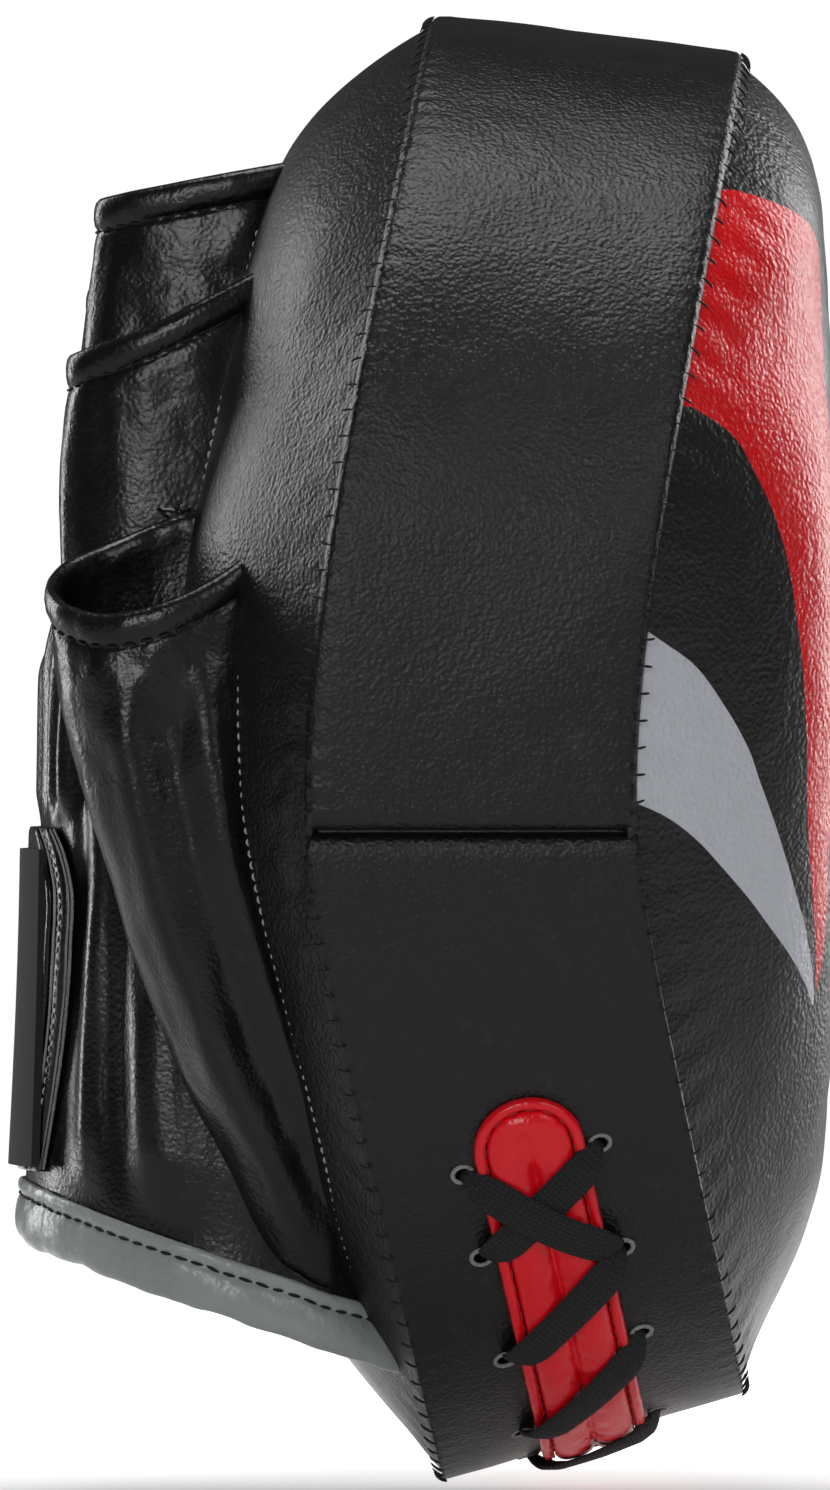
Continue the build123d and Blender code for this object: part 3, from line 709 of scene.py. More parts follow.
def makePiping(end):
    # the rolled rim round the tongue
    pipe = lacing["pipe"]
    straight = np.linspace(-end, end, 260)
    bend = np.linspace(0, pi, 40)[1:-1]
    middle = lacing["tongueHalf"] + 0.15 + pipe / 2
    endS, endA = end + middle * np.sin(bend), middle * np.cos(bend)
    pathS = np.concatenate([straight, endS, straight[::-1], -endS])
    pathA = np.concatenate([np.full(260, middle), endA, np.full(260, -middle), -endA])
    outS, outA = np.gradient(pathA), -np.gradient(pathS)
    size = np.hypot(outS, outA)
    outS, outA = -outS / size, -outA / size
    around = np.linspace(0, 2 * pi, 16, endpoint=False)
    lump = 1 + 0.07 * np.sin(np.arange(len(pathS)) * 0.9) * cloud(np.stack([pathS, pathA, pathA], -1), 6.0, 8.0)
    radius = (pipe / 2) * lump
    rs = pathS[:, None] + outS[:, None] * np.cos(around)[None] * radius[:, None]
    ra = pathA[:, None] + outA[:, None] * np.cos(around)[None] * radius[:, None]
    rh = 0.35 + np.sin(around)[None] * radius[:, None] * 1.15
    piping = sheetPiece("tonguePiping", lacePoint(rs, ra, rh), redLeather, "mitt", "red_leather",
                        closeRows=True, closeColumns=True, flip=True)
    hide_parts("tongue_piping")
    seamA = pathA * ((middle - 0.95) / middle)
    drawnIn = end + (np.abs(pathS) - end) * (middle - 0.95) / middle
    seamS = np.where(np.abs(pathS) > end, np.sign(pathS) * drawnIn, pathS)
    path = lacePoint(seamS, seamA, 1.15)
    up = lacePoint(seamS, seamA, 3.0) - path
    stitches("tongueThread", [(path, up)], redThread, "mitt", "red_leather", 3.2, 2.2, 0.34)


def laceHeight(aside):
    asides, heights = (0, 7.0, 9.6, 10.6, 11.6, 12.5, 13.0), (3.0, 2.8, 2.0, 1.2, 0.2, -1.4, -3.6)
    return np.interp(np.abs(aside), asides, heights)


def makeLace():
    # each outside run rises out of one eyelet, crosses the tongue and dives into the next
    steps, around = 96, 28
    points, faces, along, acrossField = [], [], [], []

    def strand(a, b, extra=None, under=False, twist=0.0):
        base = sum(len(p) for p in points)
        t = np.linspace(0, 1, steps)
        (sa, aa), (sb, ab) = a, b
        s, aside = sa + (sb - sa) * t, aa + (ab - aa) * t
        height = np.full(steps, -4.2) if under else laceHeight(aside)
        if extra is not None:
            height = height + extra(t)
        reach = np.minimum(t, 1 - t) * np.hypot(sb - sa, ab - aa)
        width = np.interp(reach, [0, 1.2, 3.2, 6.0], [2.4, 3.6, 6.0, lacing["laceWidth"]]) / 2
        length = np.hypot(sb - sa, ab - aa)
        ns, na = -(ab - aa) / length, (sb - sa) / length
        angles = np.linspace(0, 2 * pi, around, endpoint=False)
        side = np.sign(np.cos(angles)) * np.abs(np.cos(angles)) ** 0.75
        tall = np.sign(np.sin(angles)) * np.abs(np.sin(angles)) ** 0.55
        thick = lacing["laceThick"] / 2 * np.interp(reach, [0, 3.0], [1.5, 1.0])
        o = side[None, :] * width[:, None]
        cup = 0.25 * (o / 3.5) ** 2
        up = height[:, None] + 0.55 + tall[None, :] * thick[:, None] - cup + twist * o * (t[:, None] - 0.5)
        rows = lacePoint(s[:, None] + ns * o, aside[:, None] + na * o, up)
        points.append(rows.reshape(-1, 3))
        faces.extend(gridFaces(steps, around, closeColumns=True, start=base, flip=True))
        faces.extend(cap[::-1] for cap in endCaps(steps, around, base))
        along.append(np.broadcast_to((t * length)[:, None], (steps, around)).ravel())
        acrossField.append(o.ravel())

    eye = eyeletSpot
    bulge = lambda t: 1.25 * np.exp(-((t - 0.5) / 0.23) ** 4)  # where one run lies over another
    for n in range(8):
        strand(eye(1, n), eye(-1, n + 1), twist=0.05)
    for a, b in ((eye(-1, 0), eye(1, 1)), (eye(1, 8), eye(-1, 7))):
        strand(a, b, extra=bulge)
    for n in range(9):
        strand(eye(-1, n), eye(1, n), under=True)
    fields = {"laceAlong": np.concatenate(along), "laceAcross": np.concatenate(acrossField)}
    lace = meshPiece("edgeLace", np.concatenate(points), faces, laceBraid, "mitt", "lace_cotton",
                     fields=fields)
    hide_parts("edge_lace")


def makeEyeletEdges():
    # raw edges of the punched eyelets
    points, faces = [], []
    angles = np.linspace(0, 2 * pi, 26, endpoint=False)
    small = np.linspace(0, 2 * pi, 8, endpoint=False)
    for row in (-1, 1):
        for n in range(9):
            s, a = eyeletSpot(row, n)
            base = len(points) * 8 * 26
            rough = 1 + 0.22 * cloud(np.stack([angles * 3 + n, angles * 0 + row, angles * 0], -1), 1.0, 3.0)
            fat = 0.42 * rough
            rs = s + (1.62 + np.cos(small)[None] * fat[:, None]) * np.sin(angles)[:, None]
            ra = a + (1.9 + np.cos(small)[None] * fat[:, None]) * np.cos(angles)[:, None]
            rh = -0.55 + np.sin(small)[None] * fat[:, None] * 0.9
            points.append(lacePoint(rs, ra, rh).reshape(-1, 3))
            faces += gridFaces(26, 8, closeRows=True, closeColumns=True, start=base)
    meshPiece("eyeletEdges", np.concatenate(points), faces, rawEdge, "mitt", "raw_edge")


def makeLacing():
    end = distanceAtHeight(lacing["tongueTop"])
    makeTongue(end)
    makePiping(end)
    makeLace()
    makeEyeletEdges()
    print("lacing made")


# seams of the pad
def makeSeams():
    turns = evenTurns(-3, 3, 1400)
    width = pad["bandWidth"]
    for name, low, high, seed in (("strikeSeamThread", width + 0.5, width + 3.0, 1.0),
                                  ("backSeamThread", -0.5, -3.0, 4.0)):
        path, up = bandPoint(turns, low, -0.9), bandPoint(turns, high, 1.6)
        stitches(name, [(path, up - path)], darkThread, "mitt", "pad_leather", 4.8, 2.7, 0.5, True, seed)
    print("seams made")


# the glove: hand and thumb sleeves are ovals, each (z, x, y, half depth, half width),
# and a finger's is (y, its hem's height, the hem's slope, half depth and x at the hem)
glove = {"hand": ((-106, 16, 0, 45.5, 50), (-84, 12.5, 0, 42, 50), (-40, 6, 0, 33.5, 49), (0, 3, 0, 29.5, 48),
                  (30, 2, 0, 27.5, 47), (52, 2, 0, 24.5, 46)),
         "thumb": ((-98, 30, -37, 4, 4), (-86, 24, -43, 7, 6), (-66, 19.5, -51, 10.5, 10.5), (-45, 12.5, -57, 14, 14),
                   (-12, 4, -61, 17.5, 16.5), (20, -1, -63, 20.5, 17), (70, -2, -64, 21.5, 17)),
         "fingers": {"index": (-34.35, 95.5, 0.50, 20.5, 3.0), "middle": (-11.45, 115.0, 0.18, 20.0, 7.0),
                     "ring": (11.45, 103.5, 0.35, 19.5, 4.5), "little": (34.35, 84.5, 0.45, 19.0, 1.0)},
         "fingerHalf": 11.3, "root": 52.0, "leather": 1.6, "cuffZ": -79.5, "cuffX": -29.0, "cuffSlope": 0.33,
         "bindingHeight": 10.3, "slitY": -4.0, "slitHalf": 1.2, "slitTop": -14.0, "fold": 1.1}


def sectionAt(key, z):
    table = np.array(glove[key], float)
    z = np.clip(z, table[0, 0], table[-1, 0])
    return [smoothLine(table[:, (0, k)], z) for k in (1, 2, 3, 4)]


def sleevePoint(y, z, height):
    y, z, height = np.broadcast_arrays(*[np.asarray(v, float) for v in (y, z, height)])
    x, _, depth, width = sectionAt("hand", z)
    share = np.clip(np.abs(y) / (width + height), 0, 1)
    return np.stack([x - (depth + height) * np.sqrt(1 - share**2), y, z], -1)


def fingerDepth(z, name):
    # the middle line's x and the half depth
    _, hem, _, depth, hemX = glove["fingers"][name]
    t = np.clip((z - glove["root"]) / (hem + 12 - glove["root"]), 0, 1)
    return 1.0 + (hemX - 1.0) * t, 23.0 + (depth - 23.0) * t


def fingerX(y, z, name):
    x, depth = fingerDepth(z, name)
    share = np.clip(np.abs(y - glove["fingers"][name][0]) / glove["fingerHalf"], 0, 1)
    return x - depth * (1 - share**2.3) ** (1 / 2.3)


def stopsOf(place, low, high, sink=0.9):
    # how far round a sleeve goes each way, at each height, before it dives into the pad's back
    levels, angles = np.linspace(low, high, 80), np.radians(np.linspace(0, 150, 500))
    found = []
    for way in (-1, 1):
        points = place(np.broadcast_to(way * angles, (80, 500)), np.broadcast_to(levels[:, None], (80, 500)))
        inside = points[..., 0] >= backX(points[..., 1], points[..., 2]) + sink
        stop = angles[np.where(inside.any(-1), inside.argmax(-1), 499)]
        found.append(np.convolve(np.pad(stop, 2, mode="edge"), np.ones(5) / 5, mode="valid"))
    return lambda z, span: span * np.where(span < 0, *[np.interp(z, levels, stop) for stop in found])


def folds(points, size, seed, stretch=0.3):
    # wrinkles drawn out up the sleeve
    return cloudLayers(points * np.array([1, 1, stretch]), size, seed)


# how a hem is turned over: (height from the lip, out from the leather)
hemShape = ((-9.0, 0.0), (-7.4, 0.0), (-6.6, -0.1), (-6.1, -0.45), (-5.6, -0.1), (-5.0, 0.35),
            (-3.8, 0.75), (-2.2, 0.85), (-0.9, 0.65), (-0.2, 0.1), (0.05, -0.7), (-0.25, -1.5),
            (-1.0, -2.1), (-2.6, -2.35), (-5.0, -2.1), (-6.4, -1.8), (-12.0, -1.8), (-22.0, -1.8),
            (-34.0, -2.2))


def stallGrid(place, hemAt, low, around, seed, fold, rows, ridge=None):
    # an open sleeve: rows go up the outside, over the lip and down the inside
    levels = [("up", v) for v in np.linspace(0, 1, rows) ** 0.9] + [("hem", k) for k in hemShape[1:]]
    angle = np.linspace(-1, 1, around)
    turnTo = stopsOf(place, low, 125.0)
    grid = []
    for kind, value in levels:
        a = angle * 1.7
        z = np.full(around, low) if kind == "up" else np.full(around, 40.0)
        for _ in range(8):
            spot = place(a, z)
            edge = hemAt(spot[..., 0], spot[..., 1])
            z = low + (edge + hemShape[0][0] - low) * value if kind == "up" else edge + value[0]
            a = turnTo(z, angle)
        push = 0.0 if kind == "up" else value[1]
        spot = place(a, z)
        normal = np.stack([-np.cos(a), np.sin(a), np.zeros(around)], -1)
        soft = fold * folds(spot, 13.0, seed) * (1.0 if kind == "up" else 0.6)
        if ridge and kind == "up":
            soft = soft + ridge(spot) * min(1.0, (1 - value) * 8)
        tidy = np.clip((1 - np.abs(angle)) / 0.12, 0, 1)
        crimp = 0.5 * cloudLayers(spot, 5.0, seed + 5, 2) * (0.35 if kind == "up" and value < 0.8 else 1.0)
        grid.append(spot + normal * ((soft + crimp * 0.5) * tidy + push)[:, None])
    return np.array(grid)


def ovalPlace(key):
    def place(angle, z):
        x, y, depth, width = sectionAt(key, z)
        z = np.asarray(z, float) + 0 * angle
        return np.stack([x - depth * np.cos(angle), y + width * np.sin(angle), z], -1)
    return place


def fingerPlace(name):
    centre = glove["fingers"][name][0]

    def place(angle, z):
        power = 2 / 2.3
        sine, cosine = np.sin(angle), np.cos(angle)
        x, depth = fingerDepth(z, name)
        x = x - depth * np.sign(cosine) * np.abs(cosine) ** power
        y = centre + glove["fingerHalf"] * np.sign(sine) * np.abs(sine) ** power
        return np.stack([x, y, np.asarray(z, float) + 0 * angle], -1)
    return place


def rowPath(grid, row, lift):
    path = grid[row]
    centre = np.array([4.0, path[:, 1].mean(), path[:, 2].mean()])
    up = path - centre
    up[:, 2] = 0
    up /= np.linalg.norm(up, axis=1, keepdims=True)
    return path + up * lift, up


def onPad(y, z, lift):
    return np.stack([backX(y, z) - lift, y, z], -1)


def flange(name, y, z, outward, width, height=1.3):
    # a seam allowance lying on the pad's back along a line, outward of it
    dy, dz = np.gradient(y), np.gradient(z)
    size = np.hypot(dy, dz)
    ny, nz = dz / size * outward, -dy / size * outward
    share = np.array([-0.25, 0.0, 0.25, 0.5, 0.75, 0.95, 1.02, 1.0, 0.8])
    lift = np.array([0.6, 1.05, 1.15, 1.1, 1.05, 1.0, 0.6, -0.4, -1.0]) * height
    wave = 1 + 0.18 * cloud(np.stack([y, z, z * 0], -1), 5.0, 6.0)
    gy = y[:, None] + ny[:, None] * share[None] * width * wave[:, None]
    gz = z[:, None] + nz[:, None] * share[None] * width * wave[:, None]
    ripple = 0.25 * cloud(np.stack([gy, gz, gz * 0], -1), 4.0, 7.0)
    grid = onPad(gy, gz, lift[None] + ripple)
    sheetPiece(name, grid, gloveLeather, "mitt", "glove_leather", flip=outward > 0)
    path = onPad(y + ny * width * 0.62, z + nz * width * 0.62, 1.2 * height)
    return path, np.broadcast_to(np.array([-1.0, 0.0, 0.0]), path.shape).copy()


def makeHandPanel():
    around, rows = 240, 120
    span = np.linspace(-1, 1, around)
    grid = np.zeros((rows, around, 3))
    turnTo = stopsOf(ovalPlace("hand"), -106.0, 56.0)
    for i, v in enumerate(np.linspace(0, 1, rows)):
        a, z = span * 1.6, np.full(around, -60.0)
        for _ in range(8):
            x, _, depth, width = sectionAt("hand", z)
            px = x - depth * np.cos(a)
            low = glove["cuffZ"] - glove["cuffSlope"] * (px - glove["cuffX"]) + 1.0
            z = low + (glove["root"] + 0.5 - low) * v
            a = turnTo(z, span)
        spot = ovalPlace("hand")(a, z)
        web = 2 - 14.0 * np.sqrt(np.clip(1 - (spot[:, 1] / 47) ** 2, 0, None))
        root = np.full(around, glove["root"])
        lobed = np.minimum(np.min([fingerX(spot[:, 1], root, name) for name in glove["fingers"]], 0), web)
        part = easeUp((z - 22) / 30)
        spot[:, 0] = spot[:, 0] * (1 - part) + (lobed + 1.6) * part
        y = spot[:, 1]
        under = np.clip((y + 36) / 6, 0, 1) * np.clip((48 - y) / 5, 0, 1)  # pressed flat by the closure
        under = under * np.clip((z + 72) / 4, 0, 1) * np.clip((1 - z) / 6, 0, 1)
        wave = 0.9 * np.sin(y * 0.62 + z * 0.02 + 1.4 * cloud(spot, 30.0, 43.0))
        ripple = folds(spot, 12.0, 41.0, 0.16) * 1.5 + wave
        near = np.clip((-y - 14) / 12, 0, 1)
        free = glove["fold"] * (0.45 + 0.75 * near) * ripple
        pressed = -0.5 + 0.15 * folds(spot, 12.0, 41.0)
        push = free * (1 - under) + pressed * under
        push = push * np.clip((1 - np.abs(span)) / 0.05, 0, 1)
        push = push * np.clip(v * 12 - 1, 0, 1) * np.clip((1 - v) * 9, 0, 1)
        grid[i] = spot + np.stack([-np.cos(a), np.sin(a), 0 * a], -1) * push[:, None]
    middles = (grid[:-1, :-1] + grid[1:, 1:]) / 2
    beside = np.abs(middles[..., 1] - glove["slitY"])
    inSlit = (beside < glove["slitHalf"]) & (middles[..., 2] < glove["slitTop"])
    faces = [face for face, gone in zip(gridFaces(rows, around, flip=True), inSlit.ravel()) if not gone]
    panel = meshPiece("handPanel", grid, faces, gloveLeather, "mitt", "glove_leather", thickness=1.5)
    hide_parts("hand_back_panel")
    print("hand panel made")


def makeStalls():
    dark, white = [], []
    ridgeKnots = ((-97, 32), (-85, 25), (-60, 13), (-30, 1), (0, -7), (30, -10))  # (z, x)

    def thumbHem(x, y):
        flare = 3.0 * np.exp(-((x + 24) / 9) ** 2)
        return 43.5 + 0.36 * x + 0.45 * (y + 64) + flare + 2.0 * np.exp(-((x - 20) / 9) ** 2)

    def ridge(spot):
        # the long fold that sweeps down the thumb's sleeve, and the hollow beside it
        x = spot[:, 0] - smoothLine(ridgeKnots, np.clip(spot[:, 2], -97, 30))
        near = np.clip((-spot[:, 1] - 52) / 10, 0, 1)
        wave = 1 + 0.3 * cloud(spot, 25.0, 55.0)
        crest, hollow = 1.7 * np.exp(-((x / 3.2) ** 2)), 2.0 * np.exp(-(((x - 8) / 4.0) ** 2))
        return near * (crest - hollow + 0.9 * np.exp(-(((x - 15) / 3.0) ** 2))) * wave

    grid = stallGrid(ovalPlace("thumb"), thumbHem, -97.0, 150, 51.0, 0.9, 90, ridge)
    shape = sheetPiece("thumbStall", grid, gloveLeather, "mitt", "glove_leather", flip=True)
    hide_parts("thumb_stall")
    dark.append(rowPath(grid, 90 + 2, 0.25))
    edge = grid[2:88, 0]
    white.append(flange("thumbFlange", edge[:, 1], edge[:, 2], -1, 4.2))
    for k, (name, (_, hem, slope, _, _)) in enumerate(glove["fingers"].items()):
        def lip(x, y):
            return hem + slope * (x - 15) + 2.2 * np.exp(-((x + 19) / 8) ** 2) * (slope > 0.3)

        grid = stallGrid(fingerPlace(name), lip, 40.0, 96, 61.0 + k * 3, 0.7, 46)
        shape = sheetPiece(name + "Stall", grid, gloveLeather, "mitt", "glove_leather", flip=True)
        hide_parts(name + "_stall")
        dark.append(rowPath(grid, 46 + 2, 0.25))
        if name != "ring":
            side, column, end = (1, -1, "Far") if name == "little" else (-1, 0, "Near")
            edge = grid[14:44, column]
            white.append(flange(name + "Flange" + end, edge[:, 1], edge[:, 2], side, 3.0))
    stitches("hemThread", dark, darkThread, "mitt", "glove_leather", 3.3, 2.5, 0.55)
    stitches("whiteSeamThread", white, whiteThread, "mitt", "glove_leather", 2.1, 1.5, 0.5)
    print("stalls made")


def makePalmLining():
    us, vs = np.linspace(0, 1, 90), np.linspace(0, 1, 80)
    top = lambda y: np.where(y < -52, 62 - (-52 - y) * 0.30, np.where(y > 40, 46.0, 62.0))
    near, far = -86.0, 44.0
    y = near + (far - near) * us[None, :] + 0 * vs[:, None]
    bottom = np.where(y < -44, -20 - (y + 44) * 1.3, -72.0)
    z = bottom + (top(y) - bottom) * vs[:, None]
    grid = onPad(y, z, 0.9 + 0.2 * cloudLayers(np.stack([y, z, z * 0], -1), 14.0, 71.0))
    lining = sheetPiece("palmLining", grid, liningLeather, "mitt", "lining", thickness=0.9, flip=True)
    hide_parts("palm_lining")
    path = onPad(y[-1, :30], z[-1, :30] - 1.6, 1.3)
    up = np.broadcast_to(np.array([-1.0, 0.0, 0.0]), path.shape).copy()
    stitches("liningThread", [(path, up)], darkThread, "mitt", "lining", 3.0, 2.2, 0.5)


def makePalmBall():
    radius, height, z0 = 27.0, 7.0, -4.0
    rings, around = np.linspace(0, 1, 26), np.linspace(0, 2 * pi, 80, endpoint=False)
    r = radius * np.sqrt(rings)[:, None]
    y, z = r * np.cos(around)[None], z0 + r * np.sin(around)[None]
    lift = height * np.clip(1 - (r / radius) ** 2, 0, 1) ** 0.8 + 1.4
    wrinkle = 0.35 * cloudLayers(np.stack([y, z, z * 0], -1), 9.0, 73.0) * np.clip((radius - r) / 5, 0, 1)
    ball = sheetPiece("palmBall", onPad(y, z, lift + wrinkle), liningLeather, "mitt", "lining",
                      closeColumns=True, thickness=1.0)
    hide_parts("palm_ball")


# the binding's section: (height above the cuff's lower edge, out from the leather)
bindingShape = ((9.9, 0.05), (10.3, 0.5), (10.2, 1.2), (9.4, 1.5), (8.4, 1.45), (7.7, 1.1), (7.3, 0.85),
                (6.9, 1.1), (6.2, 1.5), (4.0, 1.75), (2.0, 1.7), (0.2, 1.4), (-0.9, 0.8), (-1.35, -0.3),
                (-1.3, -1.3), (-0.6, -2.3), (1.0, -2.9), (4.0, -3.0), (7.5, -2.9), (9.9, -2.5),
                (10.0, -1.7))


def makeBindings():
    rows, count = [], 150
    for side, name, node in ((-1, "thumbCuffBinding", "thumb_cuff_binding"),
                             (1, "outerCuffBinding", "outer_cuff_binding")):
        width = float(sectionAt("hand", np.array(-80.0))[3])
        start = np.arcsin((glove["slitY"] + side * glove["slitHalf"]) / width)
        share = np.linspace(0, 1, count)
        grid = np.zeros((len(bindingShape), count, 3))
        base, turnTo = None, stopsOf(ovalPlace("hand"), -106.0, -60.0, 2.0)
        for _ in range(8):
            end = float(turnTo(-92.0 if base is None else base[-1, 2], float(side)))
            a = start + (end - start) * share
            z = np.full(count, -85.0) if base is None else base[:, 2]
            spot = ovalPlace("hand")(a, z)
            z = glove["cuffZ"] - glove["cuffSlope"] * (spot[:, 0] - glove["cuffX"])
            base = ovalPlace("hand")(a, z)
        scallop = 0.7 * cloud(base, 9.0, 81.0) + 0.5 * cloud(base, 4.0, 83.0)
        ends = np.clip(np.minimum(share, 1 - share) / 0.02, 0, 1)
        outward = np.stack([-np.cos(a), np.sin(a), 0 * a], -1)
        for i, (up, out) in enumerate(bindingShape):
            z = base[:, 2] + up + scallop * np.clip((4 - up) / 5, 0, 1)
            z = z + 0.25 * cloud(base, 6.0, 85.0) * (up > 5)
            spot = ovalPlace("hand")(a, z)
            soft = 0.35 * cloudLayers(spot, 6.0, 87.0) * (1 if out > 0 else 0.4)
            grid[i] = spot + outward * ((out + soft) * (0.55 + 0.45 * ends))[:, None]
        piece = sheetPiece(name, grid, greyBinding, "mitt", "binding_tape", flip=side < 0, levels=1)
        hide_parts(node)
        rows.append((grid[6] + outward * 0.12, outward))
    stitches("bindingThread", rows, darkThread, "mitt", "binding_tape", 3.1, 2.6, 0.6)
    print("bindings made")


def layerPiece(name, yRange, zRange, low, high, paint, body, slot, count=(60, 60), wave=0.15, seed=91.0):
    # a patch lying over the sleeve; yRange may be two curves of z
    rows, columns = count
    v, u = np.linspace(0, 1, rows)[:, None], np.linspace(0, 1, columns)[None, :]
    z = zRange[0] + (zRange[1] - zRange[0]) * v + 0 * u
    near, far = (edge(z) if callable(edge) else edge for edge in yRange)
    y = near + (far - near) * u + 0 * z
    rim = np.minimum(u * (far - near), (1 - u) * (far - near))
    rim = np.minimum(rim, np.minimum(v, 1 - v) * (zRange[1] - zRange[0]))
    soft = wave * cloudLayers(np.stack([y, z, z * 0], -1), 9.0, seed)
    top = sleevePoint(y, z, high - 0.35 * np.exp(-np.clip(rim, 0, None) / 0.5) + soft)
    bottom = sleevePoint(y, z, low + 0 * z)
    points = np.concatenate([top.reshape(-1, 3), bottom.reshape(-1, 3)])
    return meshPiece(name, points, slabFaces(rows, columns), paint, body, slot)


closure = {"flapNear": ((-70, -21.5), (-60, -25.0), (-45, -29.0), (-27, -31.5), (-14, -31.0),
                        (-8, -27.0), (-3, -20.0)),
           "flapFar": 13.0, "flapZ": (-67.5, -5.0), "strapZ": (-66.6, -9.0), "strap": (-25.0, 30.5), "hinge": 13.6,
           "loop": (16.0, 43.0), "hook": (17.5, 34.5), "tab": (29.6, 37.0)}


def makeFlap():
    nearEdge = lambda z: smoothLine(closure["flapNear"], z)
    low, high = closure["flapZ"]
    across = (lambda z: nearEdge(z) + 2.6, closure["flapFar"])
    piece = layerPiece("cuffFlap", across, (low, high), 0.2, 1.75, gloveLeather, "flap", "glove_leather",
                       (90, 70))
    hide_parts("cuff_flap")
    across = (nearEdge, lambda z: nearEdge(z) + 2.9)
    piece = layerPiece("flapEdge", across, (low, high), 0.15, 1.9, gloveLeather, "flap", "binding_tape",
                       (90, 10))
    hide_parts("flap_edge_tape")
    # the layered raw edges that show along the flap's near side
    layers = ((0.15, 0.3, 0.95, rawEdge), (0.1, 1.05, 1.45, rawEdge), (3.4, 1.75, 2.25, rawEdge),
              (5.2, 1.75, 2.6, gloveLeather), (6.6, 1.8, 2.3, rawEdge))
    for k, (aside, bottom, top, paint) in enumerate(layers):
        wide = 0.55 if paint is rawEdge else 1.5
        across = (lambda z: nearEdge(z) + aside - 0.45, lambda z: nearEdge(z) + aside - 0.45 + wide)
        layerPiece("flapLayer%d" % k, across, (low + 0.3, high - 0.3), bottom, top, paint, "flap",
                   "raw_edge", (90, 5), 0.08, 93.0 + k)
    z = np.linspace(low + 0.6, high - 0.6, 160)
    y = nearEdge(z) + 1.5
    path, lifted = sleevePoint(y, z, 1.95), sleevePoint(y, z, 4.0)
    stitches("flapThread", [(path, lifted - path)], whiteThread, "flap", "binding_tape", 2.0, 1.3, 0.35)


def makeClosure():
    low, high = closure["strapZ"]
    piece = layerPiece("loopPatch", closure["loop"], (low, high), 0.15, 1.05, loopNap, "mitt",
                       "hook_loop", wave=0.1)
    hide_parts("loop_patch")
    piece = layerPiece("hookPatch", closure["hook"], (low + 2, high - 2), 1.2, 2.1, hookNap,
                       "strap_tip", "hook_loop", wave=0.08)
    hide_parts("hook_patch")
    piece = layerPiece("pullTab", closure["tab"], (low + 6, high - 6), 2.05, 4.2, tabRubber,
                       "strap_tip", "tab_rubber", (60, 24), 0.05)
    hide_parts("pull_tab")
    # the strap is one woven length lying along the sleeve, with its rows closer together where its free end begins
    low, high = closure["strap"]
    us = np.concatenate([np.linspace(low, 12.6, 60), np.linspace(12.9, 14.3, 9), np.linspace(14.6, high, 24)])
    vs = np.linspace(*closure["strapZ"], 80)
    y, z = np.meshgrid(us, vs)
    rib = 0.10 * np.abs(np.sin(z * 1.35))
    edge = np.minimum(np.minimum(y - low, high - y), np.minimum(z - vs[0], vs[-1] - z))
    top = sleevePoint(y, z, 3.45 - 0.10 + rib - 0.4 * np.exp(-edge / 0.4))
    bottom = sleevePoint(y, z, 2.07)
    faces = slabFaces(*y.shape)
    return top, bottom, faces  # open fault: this line ends the function too soon, so no strap is made
    points = np.concatenate([top.reshape(-1, 3), bottom.reshape(-1, 3)])
    strap = meshPiece("wristStrap", points, faces, webbing, None, "webbing")
    hinge = [sleevePoint(v, -37.0, 2.8) * 0.001 for v in (closure["hinge"] - 0.9, closure["hinge"] + 0.9)]
    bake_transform(strap)
    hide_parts("wrist_strap", "strap_end")

    def row(y, z, lift=3.5):
        y, z = np.broadcast_arrays(np.asarray(y, float), np.asarray(z, float))
        path = sleevePoint(y, z, lift)
        return path, sleevePoint(y, z, lift + 2.0) - path

    lowZ, highZ = closure["strapZ"][0] + 2.2, closure["strapZ"][1] - 2.2
    level = np.linspace(lowZ, highZ, 120)
    flapRun, tipRun = np.linspace(low + 2, 12.4, 80), np.linspace(16.2, high - 2.2, 40)
    onFlap = [row(low + 1.8, level), row(low + 3.0, level), row(flapRun, lowZ), row(flapRun, highZ),
              row(11.6, level)]
    onTip = [row(16.2, level), row(high - 2.2, level), row(tipRun, lowZ), row(tipRun, highZ)]
    stitches("strapThread", onFlap, whiteThread, "flap", "webbing", 2.2, 1.5, 0.32)
    stitches("strapEndThread", onTip, darkThread, "strap_tip", "webbing", 2.6, 1.9, 0.45)
    # ribs on the moulded tab
    grooves = []
    for k in range(4):
        y = closure["tab"][0] + 1.6 + 1.35 * k
        path, up = row(y, np.linspace(closure["strapZ"][0] + 9, closure["strapZ"][1] - 9, 60), 4.15)
        grooves.append((path, up / np.linalg.norm(up, axis=1, keepdims=True)))
    points, faces = [], []
    for path, up in grooves:
        base = sum(len(p) for p in points)
        rings = tube(path, up, 0.38, 0.32, sides=10)
        points.append(rings.reshape(-1, 3))
        faces += gridFaces(len(path), 10, closeColumns=True, start=base)
        faces += endCaps(len(path), 10, base)
    meshPiece("tabRibs", np.concatenate(points), faces, tabRubber, "strap_tip", "tab_rubber")
    print("closure made")


makeCovers()
lowerBand = makeBands()
cutEyelets(lowerBand)
makeLacing()
makeSeams()
makeHandPanel()
makeStalls()
makePalmLining()
makePalmBall()
print("palm made")
makeBindings()
makeFlap()
makeClosure()
for name in ("strike_foam", "core_foam", "backing_foam"):
    for place in nodes[name].material_slots:
        place.material = foamCells

# camera, light and floor
studio = {"distance": 2.4, "aimX": 0.0423, "aimZ": 0.0099, "frameHeight": 0.2730, "floorZ": -0.1275}


def areaLight(name, spot, aim, size, power):
    data = bpy.data.lights.new(name, "AREA")
    data.shape, data.size, data.size_y, data.energy = "RECTANGLE", *size, power
    lamp = bpy.data.objects.new(name, data)
    bpy.context.scene.collection.objects.link(lamp)
    lamp.location = spot
    lamp.rotation_euler = (Vector(aim) - Vector(spot)).to_track_quat("-Z", "Y").to_euler()


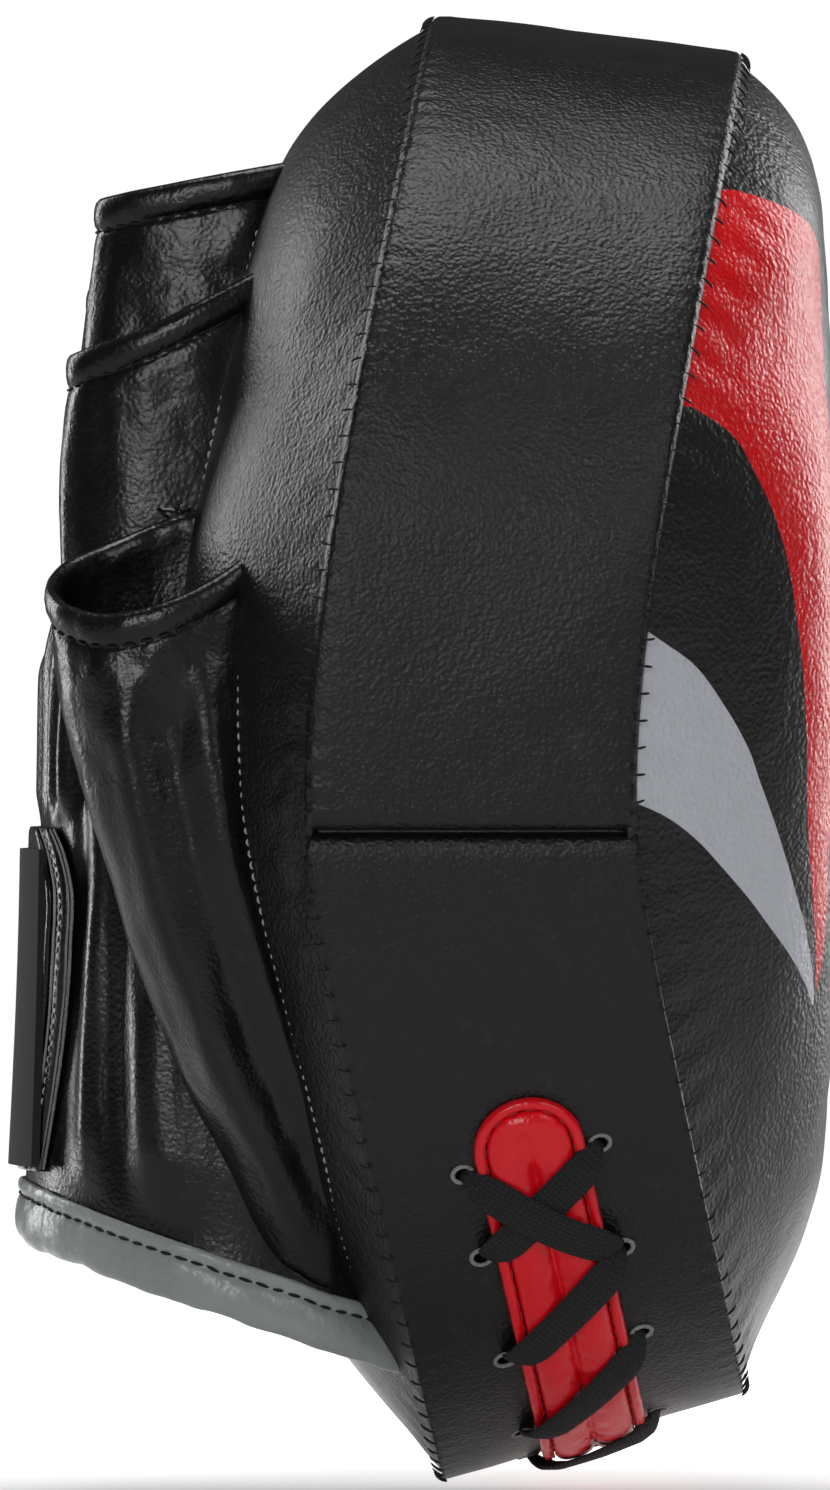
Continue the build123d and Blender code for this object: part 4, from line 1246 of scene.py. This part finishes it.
def makeCamera(scene):
    data = bpy.data.cameras.new("sideCamera")
    camera = bpy.data.objects.new("sideCamera", data)
    scene.collection.objects.link(camera)
    data.sensor_fit, data.sensor_height = "VERTICAL", 24.0
    data.lens = 24.0 * studio["distance"] / studio["frameHeight"]
    data.clip_start, data.clip_end = 0.05, 60
    camera.location = (studio["aimX"], -studio["distance"], studio["aimZ"])
    camera.rotation_euler = (pi / 2, 0, 0)
    scene.camera = camera


def makeWorld(scene):
    # white behind the object for the camera, dim for everything else
    world = bpy.data.worlds.new("studioWorld")
    scene.world = world
    world.use_nodes = True
    tree = world.node_tree
    tree.nodes.clear()
    path, mix, output, bright, dim = (tree.nodes.new("ShaderNode" + kind) for kind in (
        "LightPath", "MixShader", "OutputWorld", "Background", "Background"))
    bright.inputs[0].default_value, bright.inputs[1].default_value = (1, 1, 1, 1), 1.05
    dim.inputs[0].default_value, dim.inputs[1].default_value = (1, 1, 1, 1), 0.06
    tree.links.new(path.outputs["Is Camera Ray"], mix.inputs[0])
    tree.links.new(dim.outputs[0], mix.inputs[1])
    tree.links.new(bright.outputs[0], mix.inputs[2])
    tree.links.new(mix.outputs[0], output.inputs[0])


def makeLights():
    areaLight("topSoftbox", (0.02, -0.15, 1.2), (0.05, 0, 0), (0.7, 0.5), 6.5)
    areaLight("leftStrip", (-0.80, 0.62, 0.25), (0, 0, 0.0), (0.20, 1.0), 5.0)
    areaLight("rightStrip", (0.85, 0.70, 0.20), (0.08, 0, 0.0), (0.24, 1.1), 8.0)
    areaLight("rightFill", (1.0, -1.5, 0.7), (0.08, 0, 0.02), (0.4, 0.8), 4.0)
    areaLight("frontKey", (-0.55, -2.1, 0.45), (0.04, 0, 0.02), (0.40, 0.8), 8.5)


def makeFloor(scene):
    paint = Paint("paleFloor")
    x, y = (paint.node("ShaderNodeSeparateXYZ", None, [paint.place()], out=k) for k in (0, 1))
    aside = (x - 0.04).math("ABSOLUTE") - y * 0.06
    lit = y.between(-0.12, 0.20) * (1 - aside.between(0.12, 0.22))  # painted light: the floor glows in a wedge behind the mitt, brightening the ground there and lighting the mitt's lower rims
    glow = paint.mixColour(lit, (0.0, 0.0, 0.0), (1.0, 1.0, 1.0))
    tone = paint.mixColour(paint.noise(9.0, 2), (0.64, 0.64, 0.64), (0.68, 0.68, 0.68))
    paint.finish(Base_Color=tone, Roughness=0.9, Emission_Color=glow, Emission_Strength=1.0)
    mesh = bpy.data.meshes.new("floor")
    r, f = 12.0, studio["floorZ"]
    mesh.from_pydata([(-r, -r, f), (r, -r, f), (r, r, f), (-r, r, f)], [], [(0, 1, 2, 3)])
    mesh.materials.append(paint.material)
    floor = bpy.data.objects.new("floor", mesh)
    scene.collection.objects.link(floor)


scene = bpy.context.scene
scene.view_settings.view_transform = "Standard"
makeCamera(scene)
makeWorld(scene)
makeLights()
makeFloor(scene)
print("studio made")
